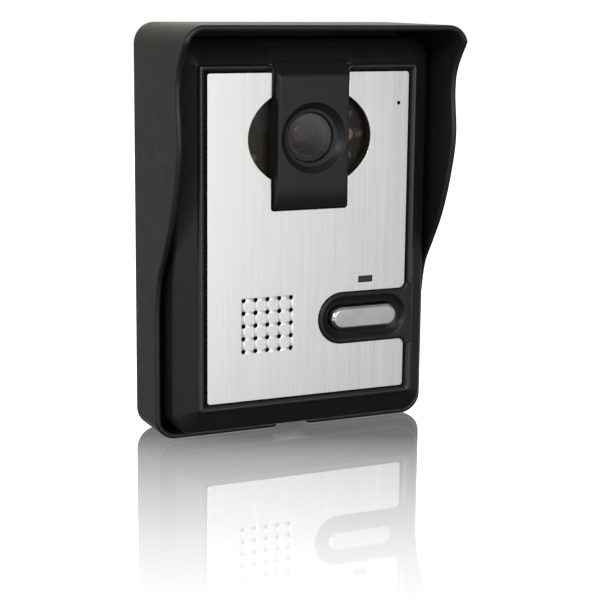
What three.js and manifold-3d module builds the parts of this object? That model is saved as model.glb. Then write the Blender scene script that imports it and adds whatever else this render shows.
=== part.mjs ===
// Door intercom panel: an outdoor video door station held in its rain hood.
//
// Millimetres, +Z up. The wall is the plane Y = 0 and the panel faces along -Y.
// The origin is the middle of the hood's back face. "Depth" is the distance from the
// wall, so a point at depth d has Y = -d, and a larger depth is nearer the visitor.
// Pieces of the station are drawn about the middle of its face plate and then lowered
// by plate.centreZ as one group.

import * as THREE from 'three';
import { ConvexGeometry } from 'three/addons/geometries/ConvexGeometry.js';
import { mergeVertices } from 'three/addons/utils/BufferGeometryUtils.js';
import Module from 'manifold-3d';

const wasm = await Module();
wasm.setup();

// ---------------------------------------------------------------- driving dimensions

const gap = 0.3; // clearance between neighbouring pieces

const hood = {
  width: 105,
  height: 144,
  radius: 7.5,
  wall: 2,
  back: 2.4, // thickness of the wall plate
  depth: 49, // front of the visor
  lip: 20.8, // depth of the side walls and the sill below the visor
  notchWidth: 12, // finger notch in the sill
  notchDepth: 10,
};

const hook = { x: 20, z: 46, width: 8, thickness: 2, rise: 3 };
const cable = { width: 30, height: 24, z: -45 }; // opening for the cable in both backs

const wallSlot = { x: 34, z: 52, width: 4.5, height: 9 }; // for the screws into the wall

// The screw that locks the station to the hood's sill.
const fixing = { depth: 8, hole: 1.6, counterbore: 1.4, headHole: 3, padRadius: 5, padHeight: 0.6 };

const rear = { back: 5.2, wall: 2, front: 12, inset: 0.4 };

const bezel = {
  width: 96.8,
  height: 136.2,
  radius: 7.6,
  back: 12.7,
  wall: 2.2,
  shoulder: 27.4, // depth where the side walls end and the slope begins
  slopeTop: 32.2,
  floorBack: 29.2,
  floorFront: 31.2,
};

const rib = { width: 82.2, height: 119.4, radius: 1.6, thickness: 1.8, crest: 33.9 };

const plate = {
  centreZ: -0.9,
  width: 76.2,
  height: 113.4,
  radius: 1,
  back: 31.8,
  front: 32.8,
  slotHalfWidth: 14.6,
  slotBottom: 9.5,
};

const lens = { z: 34.4, recessRadius: 11.95, ringRadius: 9.8, windowRadius: 8.4, bore: 7.6 };
const oval = { halfWidth: 23.3, halfHeight: 17.9 }; // infra-red window opening, about the lens
const block = { front: 35.8, ring: 33.2, halfBase: 14.3, halfFront: 13.3, top: 55.7 };

const grille = { x: -15.7, z: -30.05, pitch: 4.5, count: 5, radius: 0.75 };
const microphone = { x: 34.25, z: 45.6, hole: 0.6 };
const indicator = { x: 22.3, z: -16.4, width: 5.6, height: 2.2 };

// The raised pad round the button, and the dish in it that narrows down to the button.
const surround = { left: 13.16, right: 30.4, z: -29.9, radius: 9.3, fillet: 2, crest: 33.7 };
const dish = { rimRadius: 7.5, floorRadius: 4.8 };
const button = { x: 21.8, z: -29.9, width: 26, radius: 4.05, front: 34.4, travel: 1.5 };
const flange = { back: 25.6, front: 26.7, radius: 5.6 }; // holds the button in the bezel
const stem = { radius: 1.5, back: 20.6, tip: 23, travel: 0.3 }; // of the tact switch
const spring = { radius: 1.6, wire: 0.25, turns: 5, back: 19.2, front: 25.2, offset: 7.5 };

const mainBoard = { width: 86, height: 61, z: -25, back: 17, front: 18.6 };
const infraredBoard = { width: 54, height: 42, back: 20, front: 21.6 };
const cameraBoard = { width: 26, height: 55, back: 12, front: 13.6, screwZ: 24.5 };
const terminal = { count: 4, pitch: 5, back: 8.2, height: 9, z: cable.z - plate.centreZ };

// Screws and the posts in the bezel that they bite into: places about the plate's centre
// or the lens, the post's radius, and the radius and front end of its blind hole.
const caseScrew = { x: 40.5, z: 60.5, post: 3.4, pilot: 1.5, holeFront: 24.5, boss: 4.2 };
const mainScrew = { post: 2.6, pilot: 1.3, holeFront: 27, clear: 1.4 };
const cameraScrew = { post: 2.4, pilot: 1.3, holeFront: 27, clear: 1.4 };
const infraredScrew = { x: 23, z: 17, post: 2, pilot: 1.1, holeFront: 28, clear: 1.3 };
const speakerCup = { outer: 15.8, inner: 14.6, back: 22.5 };
const microphoneCup = { outer: 5.3, inner: 4.3, back: 24 };

// ---------------------------------------------------------------- drawing helpers

// A closed rectangle with round corners, in the plane of the face.
function roundedRect(width, height, radius, x = 0, z = 0) {
  const right = x + width / 2 - radius;
  const left = x - width / 2 + radius;
  const top = z + height / 2 - radius;
  const bottom = z - height / 2 + radius;
  const outline = new THREE.Shape();
  outline.absarc(right, bottom, radius, -Math.PI / 2, 0);
  outline.absarc(right, top, radius, 0, Math.PI / 2);
  outline.absarc(left, top, radius, Math.PI / 2, Math.PI);
  outline.absarc(left, bottom, radius, Math.PI, 1.5 * Math.PI);
  return outline;
}

// A slot with round ends lying along X.
function pill(left, right, z, radius) {
  const outline = new THREE.Shape();
  outline.absarc(right, z, radius, -Math.PI / 2, Math.PI / 2);
  outline.absarc(left, z, radius, Math.PI / 2, 1.5 * Math.PI);
  return outline;
}

function ellipse(halfWidth, halfHeight, z) {
  const outline = new THREE.Shape();
  outline.absellipse(0, z, halfWidth, halfHeight, 0, 2 * Math.PI);
  return outline;
}

// A piece of even thickness whose outline is in the plane of the face.
function slabGeometry(outline, back, front, curveSegments) {
  const geometry = new THREE.ExtrudeGeometry(outline, {
    depth: front - back,
    bevelEnabled: false,
    curveSegments,
  });
  return geometry.translate(0, 0, back).rotateX(Math.PI / 2);
}

// A closed solid with merged corners and no collapsed triangles.
function toSolid(geometry) {
  const bare = geometry.clone();
  bare.deleteAttribute('normal');
  bare.deleteAttribute('uv');
  const merged = mergeVertices(bare, 1e-4);
  const corners = merged.index.array;
  const kept = [];
  for (let i = 0; i < corners.length; i += 3) {
    const [a, b, c] = corners.slice(i, i + 3);
    if (a !== b && b !== c && c !== a) kept.push(a, b, c);
  }
  const mesh = new wasm.Mesh({
    numProp: 3,
    vertProperties: new Float32Array(merged.attributes.position.array),
    triVerts: new Uint32Array(kept),
  });
  return new wasm.Manifold(mesh);
}

function toGeometry(solid) {
  const mesh = solid.getMesh();
  const geometry = new THREE.BufferGeometry();
  geometry.setAttribute('position', new THREE.BufferAttribute(mesh.vertProperties, 3));
  geometry.setIndex(new THREE.BufferAttribute(mesh.triVerts, 1));
  geometry.computeVertexNormals();
  return geometry;
}

function slab(outline, back, front, curveSegments = 3) {
  return toSolid(slabGeometry(outline, back, front, curveSegments));
}

// A piece that narrows from one convex outline to another.
function taper(backOutline, back, frontOutline, front, segments = 3) {
  const points = [];
  for (const point of backOutline.getPoints(segments)) {
    points.push(new THREE.Vector3(point.x, -back, point.y));
  }
  for (const point of frontOutline.getPoints(segments)) {
    points.push(new THREE.Vector3(point.x, -front, point.y));
  }
  return toSolid(new ConvexGeometry(points));
}

// A turned piece about an axis along Y. The profile is [radius, depth] pairs that
// run from the front to the back round the outside.
function turned(profile, x = 0, z = 0, segments = 16) {
  const points = profile.map(([radius, depth]) => new THREE.Vector2(radius, -depth));
  const geometry = new THREE.LatheGeometry(points, segments);
  return toSolid(geometry.translate(x, 0, z));
}

function rod(radius, back, front, x = 0, z = 0, segments = 12) {
  return turned([[0, front], [radius, front], [radius, back], [0, back]], x, z, segments);
}

// A flat ring about an axis along Y.
function collar(outer, inner, back, front, x, z, segments = 24) {
  const profile = [[inner, front], [outer, front], [outer, back], [inner, back], [inner, front]];
  return turned(profile, x, z, segments);
}

// A box between two X values, two depths and two Z values.
function box(x0, x1, back, front, z0, z1) {
  const geometry = new THREE.BoxGeometry(x1 - x0, front - back, z1 - z0);
  return toSolid(geometry.translate((x0 + x1) / 2, -(back + front) / 2, (z0 + z1) / 2));
}

// A side view drawn as (depth, z), made `width` wide and centred on X = 0.
function sideSlab(outline, width, curveSegments = 3) {
  const geometry = new THREE.ExtrudeGeometry(outline, {
    depth: width,
    bevelEnabled: false,
    curveSegments,
  });
  geometry.translate(0, 0, -width / 2);
  const towardsVisitor = new THREE.Vector3(0, -1, 0);
  const up = new THREE.Vector3(0, 0, 1);
  const left = new THREE.Vector3(-1, 0, 0);
  return toSolid(geometry.applyMatrix4(new THREE.Matrix4().makeBasis(towardsVisitor, up, left)));
}

// A vertical rod at X = 0, at a depth, between two Z values.
function uprightRod(radius, depth, z0, z1) {
  const geometry = new THREE.CylinderGeometry(radius, radius, z1 - z0, 14);
  geometry.rotateX(Math.PI / 2);
  return toSolid(geometry.translate(0, -depth, (z0 + z1) / 2));
}

function union(...solids) {
  return solids.reduce((whole, piece) => whole.add(piece));
}

function cut(base, ...tools) {
  return tools.reduce((rest, tool) => rest.subtract(tool), base);
}

// The sign pairs of a piece repeated in every corner.
const corners = [[-1, 1], [1, 1], [-1, -1], [1, -1]];

// ---------------------------------------------------------------- materials

function material(color, roughness, metalness = 0, opacity = 1) {
  const transparent = opacity < 1;
  return new THREE.MeshStandardMaterial({ color, roughness, metalness, opacity, transparent });
}

const materials = {
  hoodPlastic: material(0x32342f, 0.62),
  casePlastic: material(0x1c1f22, 0.5),
  brushedAluminium: material(0xcfd2d0, 0.35, 1),
  chrome: material(0xb9bdbb, 0.22, 1),
  clearGlass: material(0x3a2c30, 0.05, 0, 0.4),
  tintedAcrylic: material(0x24110e, 0.06, 0, 0.6),
  lensGlass: material(0x4a3a58, 0.04, 0, 0.7),
  blackAnodised: material(0x101113, 0.4, 0.6),
  circuitBoard: material(0x1d5b35, 0.5),
  chip: material(0x17181a, 0.45),
  sensorDie: material(0x3d5b6b, 0.2, 0.3),
  clearLed: material(0xdfe6ea, 0.08, 0, 0.7),
  photocell: material(0xb59a7c, 0.5),
  capacitorSleeve: material(0x1f2f52, 0.4, 0.3),
  terminalPlastic: material(0x2e7a46, 0.5),
  steel: material(0xa7abad, 0.35, 1),
  switchPlastic: material(0x222325, 0.5),
  stemPlastic: material(0xe7e4d8, 0.5),
  rubber: material(0x141414, 0.85),
  foam: material(0x2a2a2a, 0.95),
  speakerSteel: material(0x8f9294, 0.4, 0.9),
  paperCone: material(0x2b2724, 0.9),
  tape: material(0xe9e6da, 0.8),
  ribbonCable: material(0x8c9094, 0.6),
};

// ---------------------------------------------------------------- rain hood

// Side view of the hood's front edge: a deep visor above, a shallow lip below.
function hoodProfile() {
  const top = hood.height / 2;
  const outline = new THREE.Shape();
  outline.moveTo(-1, -top - 1);
  outline.lineTo(hood.lip, -top - 1);
  outline.lineTo(hood.lip, -26);
  outline.splineThru([
    new THREE.Vector2(23.2, -15),
    new THREE.Vector2(28.8, -5.5),
    new THREE.Vector2(34.5, 4.5),
    new THREE.Vector2(39.6, 18),
    new THREE.Vector2(42.8, 33),
    new THREE.Vector2(41.4, 49),
    new THREE.Vector2(43, 57.5),
    new THREE.Vector2(hood.depth, 66.5),
  ]);
  outline.lineTo(hood.depth, top + 1);
  outline.lineTo(-1, top + 1);
  return outline;
}

// One hook that the rear case hangs on: a stem out of the wall plate and an upward tip.
function caseHook(side) {
  const x0 = side * hook.x - hook.width / 2;
  const x1 = x0 + hook.width;
  const tipBack = rear.back + rear.wall + gap;
  const tipFront = tipBack + hook.thickness;
  const stem = box(x0, x1, hood.back - 0.5, tipFront, hook.z - hook.thickness, hook.z);
  const tip = box(x0, x1, tipBack, tipFront, hook.z - 0.5, hook.z + hook.rise);
  return stem.add(tip);
}

// The finger notch in the sill, open to the front, with round inner corners.
function sillNotch() {
  const back = hood.lip - hood.notchDepth;
  const outline = roundedRect(hood.notchWidth, 20, 1.5, 0, -(back + 10));
  const geometry = new THREE.ExtrudeGeometry(outline, {
    depth: 8,
    bevelEnabled: false,
    curveSegments: 2,
  });
  return toSolid(geometry.translate(0, 0, -hood.height / 2 - 4));
}

function rainHoodSolid() {
  const innerWidth = hood.width - 2 * hood.wall;
  const innerHeight = hood.height - 2 * hood.wall;
  const outer = slab(roundedRect(hood.width, hood.height, hood.radius), 0, hood.depth);
  const inside = roundedRect(innerWidth, innerHeight, hood.radius - hood.wall);
  const shell = cut(outer, slab(inside, hood.back, hood.depth + 5));
  let body = shell.intersect(sideSlab(hoodProfile(), 2 * hood.width, 3));

  const sill = -hood.height / 2;
  const padTop = sill + hood.wall + fixing.padHeight;
  const pad = uprightRod(fixing.padRadius, fixing.depth, sill + 0.5, padTop);
  body = union(body, pad, caseHook(-1), caseHook(1));
  const cableHole = slab(roundedRect(cable.width, cable.height, 3, 0, cable.z), -1, 5, 2);
  const counterbore = uprightRod(fixing.headHole, fixing.depth, sill - 1, sill + fixing.counterbore);
  const screwHole = uprightRod(fixing.hole, fixing.depth, sill - 1, sill + 6);
  body = cut(body, sillNotch(), cableHole, counterbore, screwHole);
  for (const [sideX, sideZ] of corners) {
    const { width, height } = wallSlot;
    const slot = roundedRect(width, height, 2.2, sideX * wallSlot.x, sideZ * wallSlot.z);
    body = body.subtract(slab(slot, -1, 5, 2));
  }
  return body;
}

// ---------------------------------------------------------------- screws

// A pan-head screw with a cross recess, pointing along -Y with its head's top at Y = 0.
function screwSolid(headRadius, headHeight, shankRadius, length) {
  const tip = shankRadius;
  const screw = turned([
    [0, length],
    [shankRadius * 0.4, length],
    [shankRadius, length - tip],
    [shankRadius, headHeight],
    [headRadius, headHeight],
    [headRadius, headHeight * 0.45],
    [headRadius * 0.75, 0],
    [0, 0],
  ], 0, 0, 8);
  const arm = headRadius * 0.55;
  const half = headRadius * 0.12;
  const deep = headHeight * 0.6;
  return cut(screw, box(-arm, arm, -1, deep, -half, half), box(-half, half, -1, deep, -arm, arm));
}

// ---------------------------------------------------------------- rear case

function caseScrewPlaces() {
  return corners.map(([sideX, sideZ]) => [sideX * caseScrew.x, sideZ * caseScrew.z]);
}

function rearCaseSolid() {
  const width = bezel.width - 2 * rear.inset;
  const height = bezel.height - 2 * rear.inset;
  const outer = roundedRect(width, height, bezel.radius - rear.inset);
  const inner = roundedRect(width - 2 * bezel.wall, height - 2 * bezel.wall, bezel.radius - bezel.wall);
  let body = cut(slab(outer, rear.back, rear.front), slab(inner, rear.back + rear.wall, rear.front + 1));
  for (const [x, z] of caseScrewPlaces()) {
    body = body.add(rod(caseScrew.boss, rear.back, rear.front, x, z));
  }
  const sill = -bezel.height / 2;
  const anchor = box(-4, 4, rear.back + 0.5, rear.front, sill + 1, sill + 7);
  body = body.add(anchor);
  for (const [x, z] of caseScrewPlaces()) {
    body = cut(body, rod(3, rear.back - 1, rear.back + 3, x, z), rod(1.6, 0, rear.front + 1, x, z));
  }
  const through = rear.back + rear.wall + 1;
  const slotHeight = hook.thickness + hook.rise + 1.5;
  const slotTop = hook.z + gap - plate.centreZ;
  for (const side of [-1, 1]) {
    const half = hook.width / 2 + 0.6;
    const x = side * hook.x;
    body = body.subtract(box(x - half, x + half, 0, through, slotTop - slotHeight, slotTop));
  }
  const cableZ = cable.z - plate.centreZ;
  const cableHole = slab(roundedRect(cable.width, cable.height, 3, 0, cableZ), 0, through, 2);
  return cut(body, cableHole, uprightRod(fixing.hole, fixing.depth, sill - 1, sill + 8));
}

// The rubber seal pressed between the rear case and the bezel.
function caseSealSolid() {
  const outer = roundedRect(bezel.width - 1.6, bezel.height - 1.6, bezel.radius - 0.8);
  const inner = roundedRect(bezel.width - 3.6, bezel.height - 3.6, bezel.radius - 1.8);
  const back = rear.front + 0.1;
  const front = bezel.back - 0.1;
  return cut(slab(outer, back, front), slab(inner, back - 1, front + 1));
}

// ---------------------------------------------------------------- front bezel

// The pill-shaped pad round the button, open into the frame at the right.
function surroundOutline(clearance, edgeX) {
  const radius = surround.radius - clearance;
  const cornerX = plate.width / 2 - surround.fillet;
  const cornerZ = surround.radius + surround.fillet;
  const corner = surround.fillet + clearance;
  const reachX = cornerX + corner;
  const outline = new THREE.Shape();
  outline.absarc(surround.left, surround.z, radius, Math.PI / 2, 1.5 * Math.PI);
  outline.absarc(cornerX, surround.z - cornerZ, corner, Math.PI / 2, 0, true);
  outline.lineTo(Math.max(edgeX, reachX), surround.z - cornerZ);
  outline.lineTo(Math.max(edgeX, reachX), surround.z + cornerZ);
  outline.absarc(cornerX, surround.z + cornerZ, corner, 0, -Math.PI / 2, true);
  return outline;
}

// Side view of the camera block: flat front, upper slope, and a lower end that curves back.
function blockProfile() {
  const bottom = plate.slotBottom + 0.4;
  const curveHeight = 9;
  const flush = 32.3;
  const outline = new THREE.Shape();
  outline.moveTo(bezel.floorBack, bottom);
  outline.lineTo(flush, bottom);
  outline.absellipse(flush, bottom + curveHeight, block.front - flush, curveHeight, -Math.PI / 2, 0);
  outline.lineTo(block.front, block.top);
  outline.lineTo(bezel.slopeTop, rib.height / 2 + 0.2);
  outline.lineTo(bezel.floorBack, rib.height / 2 + 1);
  return outline;
}

function cameraBlockSolid() {
  const tall = 2 * bezel.height;
  const back = bezel.floorBack - 1;
  const draft = taper(
    roundedRect(2 * block.halfBase, tall, 0.1), back,
    roundedRect(2 * block.halfFront, tall, 0.1), block.front + 0.5,
  );
  const bar = sideSlab(blockProfile(), 4 * block.halfBase).intersect(draft);
  const cone = turned([
    [0, block.front + 1],
    [lens.recessRadius + 0.8, block.front + 1],
    [lens.ringRadius, block.ring],
    [0, block.ring],
  ], 0, lens.z, 36);
  const windowSeat = rod(lens.windowRadius + 0.2, 30.9, block.ring + 1, 0, lens.z, 32);
  const bore = rod(lens.bore, back, block.front, 0, lens.z, 28);
  return cut(bar, cone, windowSeat, bore);
}

// The raised bead round the face plate, broken where the camera block crosses it.
function ribSolid() {
  const outer = roundedRect(rib.width, rib.height, rib.radius);
  const innerWidth = rib.width - 2 * rib.thickness;
  const innerHeight = rib.height - 2 * rib.thickness;
  const inner = roundedRect(innerWidth, innerHeight, 0.8);
  const ring = cut(slab(outer, 30, rib.crest, 2), slab(inner, 29, rib.crest + 1, 2));
  const crossing = box(-block.halfBase, block.halfBase, 29, 40, 50, 70);
  return ring.subtract(crossing);
}

// The hollow between the side walls, the slope and the floor under the plate.
function bezelHollow() {
  const width = bezel.width - 2 * bezel.wall;
  const height = bezel.height - 2 * bezel.wall;
  const straight = roundedRect(width, height, bezel.radius - bezel.wall);
  const narrow = roundedRect(width - 8, height - 9.4, 1.6);
  const bend = 25.4;
  return union(
    slab(straight, bezel.back - 1, bend),
    taper(straight, bend - 0.01, narrow, bezel.floorBack),
  );
}

// Posts behind the floor that the boards, the rear case, the speaker, the microphone
// and the button run against.
function bezelPosts() {
  const root = bezel.floorBack + 0.5;
  const post = (places, screw, back, front) => (
    places.map(([x, z]) => rod(screw.post, back, front, x, z))
  );
  const cup = ({ outer, inner, back }, { x, z }, segments) => (
    collar(outer, inner, back, root, x, z, segments)
  );
  return [
    ...post(caseScrewPlaces(), caseScrew, bezel.back, 28.2),
    ...post(mainBoardScrewPlaces(), mainScrew, mainBoard.front + gap, root),
    ...post(cameraScrewPlaces(), cameraScrew, cameraBoard.front + gap, root),
    ...post(infraredScrewPlaces(), infraredScrew, infraredBoard.front + gap, root),
    cup(speakerCup, grille, 24),
    cup(microphoneCup, microphone, 16),
    slab(pill(...buttonEnds(), button.z, button.radius + 1.8), flange.front + gap, root, 5),
  ];
}

function pilotHoles() {
  const pilot = (places, screw, back) => (
    places.map(([x, z]) => rod(screw.pilot, back, screw.holeFront, x, z, 10))
  );
  return [
    ...pilot(caseScrewPlaces(), caseScrew, bezel.back - 1),
    ...pilot(mainBoardScrewPlaces(), mainScrew, mainBoard.front),
    ...pilot(cameraScrewPlaces(), cameraScrew, cameraBoard.front),
    ...pilot(infraredScrewPlaces(), infraredScrew, infraredBoard.front),
  ];
}

function grilleHoles(radius, back, front, segments) {
  const half = (grille.count - 1) / 2;
  const holes = [];
  for (let row = 0; row < grille.count; row += 1) {
    for (let column = 0; column < grille.count; column += 1) {
      const x = grille.x + (column - half) * grille.pitch;
      const z = grille.z + (row - half) * grille.pitch;
      holes.push(rod(radius, back, front, x, z, segments));
    }
  }
  return holes;
}

function frontBezelSolid() {
  const outline = roundedRect(bezel.width, bezel.height, bezel.radius);
  const slopeFoot = roundedRect(rib.width - 0.4, rib.height + 0.4, rib.radius);
  const outer = union(
    slab(outline, bezel.back, bezel.shoulder),
    taper(outline, bezel.shoulder - 0.01, slopeFoot, bezel.slopeTop),
  );
  const pocketWidth = rib.width - 2 * rib.thickness;
  const pocketHeight = rib.height - 2 * rib.thickness;
  const pocket = slab(roundedRect(pocketWidth, pocketHeight, 0.8), bezel.floorFront, 40, 2);
  let body = cut(outer, pocket, bezelHollow());
  body = body.subtract(slab(ellipse(oval.halfWidth, oval.halfHeight, lens.z), 20, 40, 18));
  const ridgeHeight = 8;
  const ridgeTop = rib.height / 2 - 0.5;
  const ridges = [-1, 1].map((side) => {
    const x0 = side > 0 ? block.halfFront : -block.halfBase;
    return box(x0, x0 + 1, bezel.floorBack, 33.2, ridgeTop - ridgeHeight, ridgeTop);
  });
  const pad = slab(surroundOutline(gap, 40), bezel.floorBack, surround.crest, 6);
  body = union(body, ribSolid(), cameraBlockSolid(), pad, ...ridges, ...bezelPosts());

  const dishCut = taper(
    pill(surround.left, surround.right, surround.z, dish.floorRadius), bezel.floorFront,
    pill(surround.left, surround.right, surround.z, dish.rimRadius), surround.crest + 0.1, 6,
  );
  const buttonWell = slab(pill(...buttonEnds(), button.z, button.radius + gap), 20, 40, 5);
  const pipeHole = slotBox(indicator, 20, 40, 0);
  const soundHole = rod(microphone.hole + 0.1, 20, 40, microphone.x, microphone.z, 8);
  return cut(
    body, dishCut, buttonWell, pipeHole, soundHole,
    ...grilleHoles(grille.radius + 0.1, 28, 40, 6), ...pilotHoles(),
  );
}

// A rectangular block behind the indicator slot, `margin` larger than the slot all round.
function slotBox({ x, z, width, height }, back, front, margin) {
  const halfWidth = width / 2 + margin;
  const halfHeight = height / 2 + margin;
  return box(x - halfWidth, x + halfWidth, back, front, z - halfHeight, z + halfHeight);
}

// ---------------------------------------------------------------- face plate

// Everything that is cut out of the plate and of the tape behind it.
function plateCuts(margin) {
  const slotHalf = plate.slotHalfWidth + margin;
  const slotBottom = plate.slotBottom - margin;
  const slotHeight = 2 * (plate.height / 2 + 5 - slotBottom);
  const slot = roundedRect(2 * slotHalf, slotHeight, 1, 0, slotBottom + slotHeight / 2);
  return [
    slab(slot, 30, 40, 2),
    slab(ellipse(oval.halfWidth + margin, oval.halfHeight + margin, lens.z), 30, 40, 18),
    slab(surroundOutline(-margin, 45), 30, 40, 6),
    slotBox(indicator, 30, 40, margin),
    rod(microphone.hole + margin, 30, 40, microphone.x, microphone.z, 8),
  ];
}

function facePlateSolid() {
  const sheet = slab(roundedRect(plate.width, plate.height, plate.radius), plate.back, plate.front, 2);
  return cut(sheet, ...plateCuts(0), ...grilleHoles(grille.radius, 30, 40, 8));
}

function plateTapeSolid() {
  const back = bezel.floorFront + 0.1;
  const front = plate.back - 0.1;
  const outline = roundedRect(plate.width - 2, plate.height - 2, plate.radius);
  const soundWindow = roundedRect(21, 21, 2, grille.x, grille.z);
  return cut(slab(outline, back, front, 2), ...plateCuts(1), slab(soundWindow, 30, 40, 2));
}

// ---------------------------------------------------------------- camera

function cameraScrewPlaces() {
  return [[0, lens.z + cameraBoard.screwZ], [0, lens.z - cameraBoard.screwZ]];
}

function cameraBoardSolid() {
  const outline = roundedRect(cameraBoard.width, cameraBoard.height, 3, 0, lens.z);
  const holes = cameraScrewPlaces().map(([x, z]) => rod(cameraScrew.clear, 0, 20, x, z, 10));
  return cut(slab(outline, cameraBoard.back, cameraBoard.front, 2), ...holes);
}

function imageSensorSolid() {
  const back = cameraBoard.front + 0.1;
  return box(-4, 4, back, back + 1, lens.z - 4, lens.z + 4);
}

function lensHolderSolid() {
  const back = cameraBoard.front + 0.1;
  const foot = slab(roundedRect(15, 15, 1, 0, lens.z), back, 17.5, 1);
  const neck = rod(7.4, 17, 22, 0, lens.z, 24);
  return cut(foot.add(neck), rod(6.3, 0, 30, 0, lens.z, 24));
}

// The focusing barrel: a threaded body, a wider head, and a stepped funnel inside it.
function lensBarrelSolid() {
  return turned([
    [6.5, 30.4],
    [7.2, 30.4],
    [7.2, 26],
    [6, 26],
    [6, 15.4],
    [4.6, 15.4],
    [4.6, 24.4],
    [5.6, 26.4],
    [5.6, 28.2],
    [6.1, 28.6],
    [6.1, 29.6],
    [6.5, 30.4],
  ], 0, lens.z, 24);
}

// The front element, a shallow dome seated in the funnel of the barrel.
function frontElementSolid() {
  const rimRadius = 5.3;
  const rise = 2.2;
  const steps = 4;
  const rimDepth = 26.6;
  const profile = [[0, rimDepth + rise]];
  for (let i = 1; i <= steps; i += 1) {
    const share = i / steps;
    profile.push([rimRadius * share, rimDepth + rise * Math.sqrt(1 - 0.9 * share * share)]);
  }
  profile.push([rimRadius, rimDepth], [0, rimDepth]);
  return turned(profile, 0, lens.z, 24);
}

function lensWindowSolid() {
  return rod(lens.windowRadius, 31.1, 32.2, 0, lens.z, 32);
}

// ---------------------------------------------------------------- infra-red lamp

function infraredScrewPlaces() {
  const { x, z } = infraredScrew;
  return [[-x, lens.z + z], [x, lens.z - z]];
}

function irWindowSolid() {
  const flange = slab(ellipse(oval.halfWidth + 1.5, oval.halfHeight + 1.5, lens.z), 27.4, 29, 16);
  return flange.subtract(rod(8.2, 20, 40, 0, lens.z, 24));
}

function irBoardSolid() {
  const outline = roundedRect(infraredBoard.width, infraredBoard.height, 6, 0, lens.z);
  const board = slab(outline, infraredBoard.back, infraredBoard.front, 2);
  const holes = infraredScrewPlaces().map(([x, z]) => rod(infraredScrew.clear, 0, 30, x, z, 10));
  return cut(board, rod(8.4, 0, 30, 0, lens.z, 24), ...holes);
}

// A 3 mm lamp with a round nose, standing on the infra-red board.
function irLedSolid() {
  const radius = 1.5;
  const base = infraredBoard.front + 0.1;
  const shoulder = 25;
  const steps = 3;
  const profile = [];
  for (let i = 0; i <= steps; i += 1) {
    const angle = (i / steps) * (Math.PI / 2);
    profile.push([radius * Math.sin(angle), shoulder + radius * Math.cos(angle)]);
  }
  profile.push([radius, base + 0.8], [1.75, base + 0.8], [1.75, base], [0, base]);
  return turned(profile, 0, 0, 12);
}

// Lamp places about the lens axis: three in an arc on each side.
const irLedPlaces = [[-18.3, 7.2], [-22.4, 0], [-18.3, -7.2], [18.3, 7.2], [22.4, 0], [18.3, -7.2]];

// A light-dependent resistor that switches the lamps on at dusk.
function lightSensorSolid() {
  const base = infraredBoard.front + 0.1;
  return rod(2.5, base, base + 3, 17.9, lens.z, 16);
}

// ---------------------------------------------------------------- main board

function mainBoardScrewPlaces() {
  const x = mainBoard.width / 2 - 4;
  const z = mainBoard.height / 2 - 3.5;
  return corners.map(([sideX, sideZ]) => [sideX * x, mainBoard.z + sideZ * z]);
}

function mainBoardSolid() {
  const outline = roundedRect(mainBoard.width, mainBoard.height, 2, 0, mainBoard.z);
  const holes = mainBoardScrewPlaces().map(([x, z]) => rod(mainScrew.clear, 0, 30, x, z, 10));
  return cut(slab(outline, mainBoard.back, mainBoard.front, 1), ...holes);
}

// A flat chip on the back of the main board.
function chipSolid(width, height, x, z) {
  const front = mainBoard.back - 0.1;
  return slab(roundedRect(width, height, 0.5, x, z), front - 1.3, front, 1);
}

function capacitorSolid() {
  const front = mainBoard.back - 0.1;
  return turned([
    [0, front], [3.6, front], [4, front - 0.6], [4, front - 7.6], [3.6, front - 8], [0, front - 8],
  ], 0, 0, 16);
}

function terminalX(index) {
  return (index - (terminal.count - 1) / 2) * terminal.pitch;
}

// The screw terminal for the indoor unit's four wires, reached through the cable opening.
function terminalBlockSolid() {
  const front = mainBoard.back - 0.1;
  const halfWidth = (terminal.count * terminal.pitch) / 2;
  const halfHeight = terminal.height / 2;
  const { back, z } = terminal;
  let body = box(-halfWidth, halfWidth, back, front, z - halfHeight, z + halfHeight);
  for (let i = 0; i < terminal.count; i += 1) {
    const x = terminalX(i);
    const entry = box(x - 1.4, x + 1.4, back + 3.4, front - 1.4, z - halfHeight - 1, z + 1);
    body = cut(body, rod(2, back - 1, back + 5, x, z + 1, 10), entry);
  }
  return body;
}

// A flat cable that joins the camera board to the main board behind them both.
function cameraRibbonSolid() {
  const outline = new THREE.Shape();
  outline.moveTo(11.7, 20);
  outline.lineTo(11.7, 5);
  outline.bezierCurveTo(11.7, -1, 16.7, 1, 16.7, -5.5);
  outline.lineTo(16.7, -10);
  outline.lineTo(15.9, -10);
  outline.lineTo(15.9, -5.5);
  outline.bezierCurveTo(15.9, 0.2, 10.9, -1.8, 10.9, 5);
  outline.lineTo(10.9, 20);
  return sideSlab(outline, 9, 4).translate([8, 0, 0]);
}

// ---------------------------------------------------------------- call button

// Centres of the button's two round ends.
function buttonEnds() {
  const half = button.width / 2 - button.radius;
  return [button.x - half, button.x + half];
}

function callButtonSolid() {
  const ends = buttonEnds();
  const bevel = 0.9;
  const plungerBack = stem.tip - stem.travel + button.travel + 0.1;
  const body = pill(...ends, button.z, button.radius);
  const face = pill(...ends, button.z, button.radius - bevel);
  return union(
    slab(body, flange.back, button.front - bevel, 6),
    taper(body, button.front - bevel - 0.01, face, button.front, 6),
    slab(pill(...ends, button.z, flange.radius), flange.back, flange.front, 5),
    rod(2.2, plungerBack, flange.back + 0.5, button.x, button.z),
  );
}

function tactSwitchSolid() {
  const back = mainBoard.front + 0.1;
  const body = box(button.x - 3, button.x + 3, back, 22.2, button.z - 3, button.z + 3);
  return body.subtract(rod(stem.radius + gap, stem.back - 0.6, 23, button.x, button.z));
}

function switchStemSolid() {
  return rod(stem.radius, stem.back, stem.tip, button.x, button.z);
}

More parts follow.
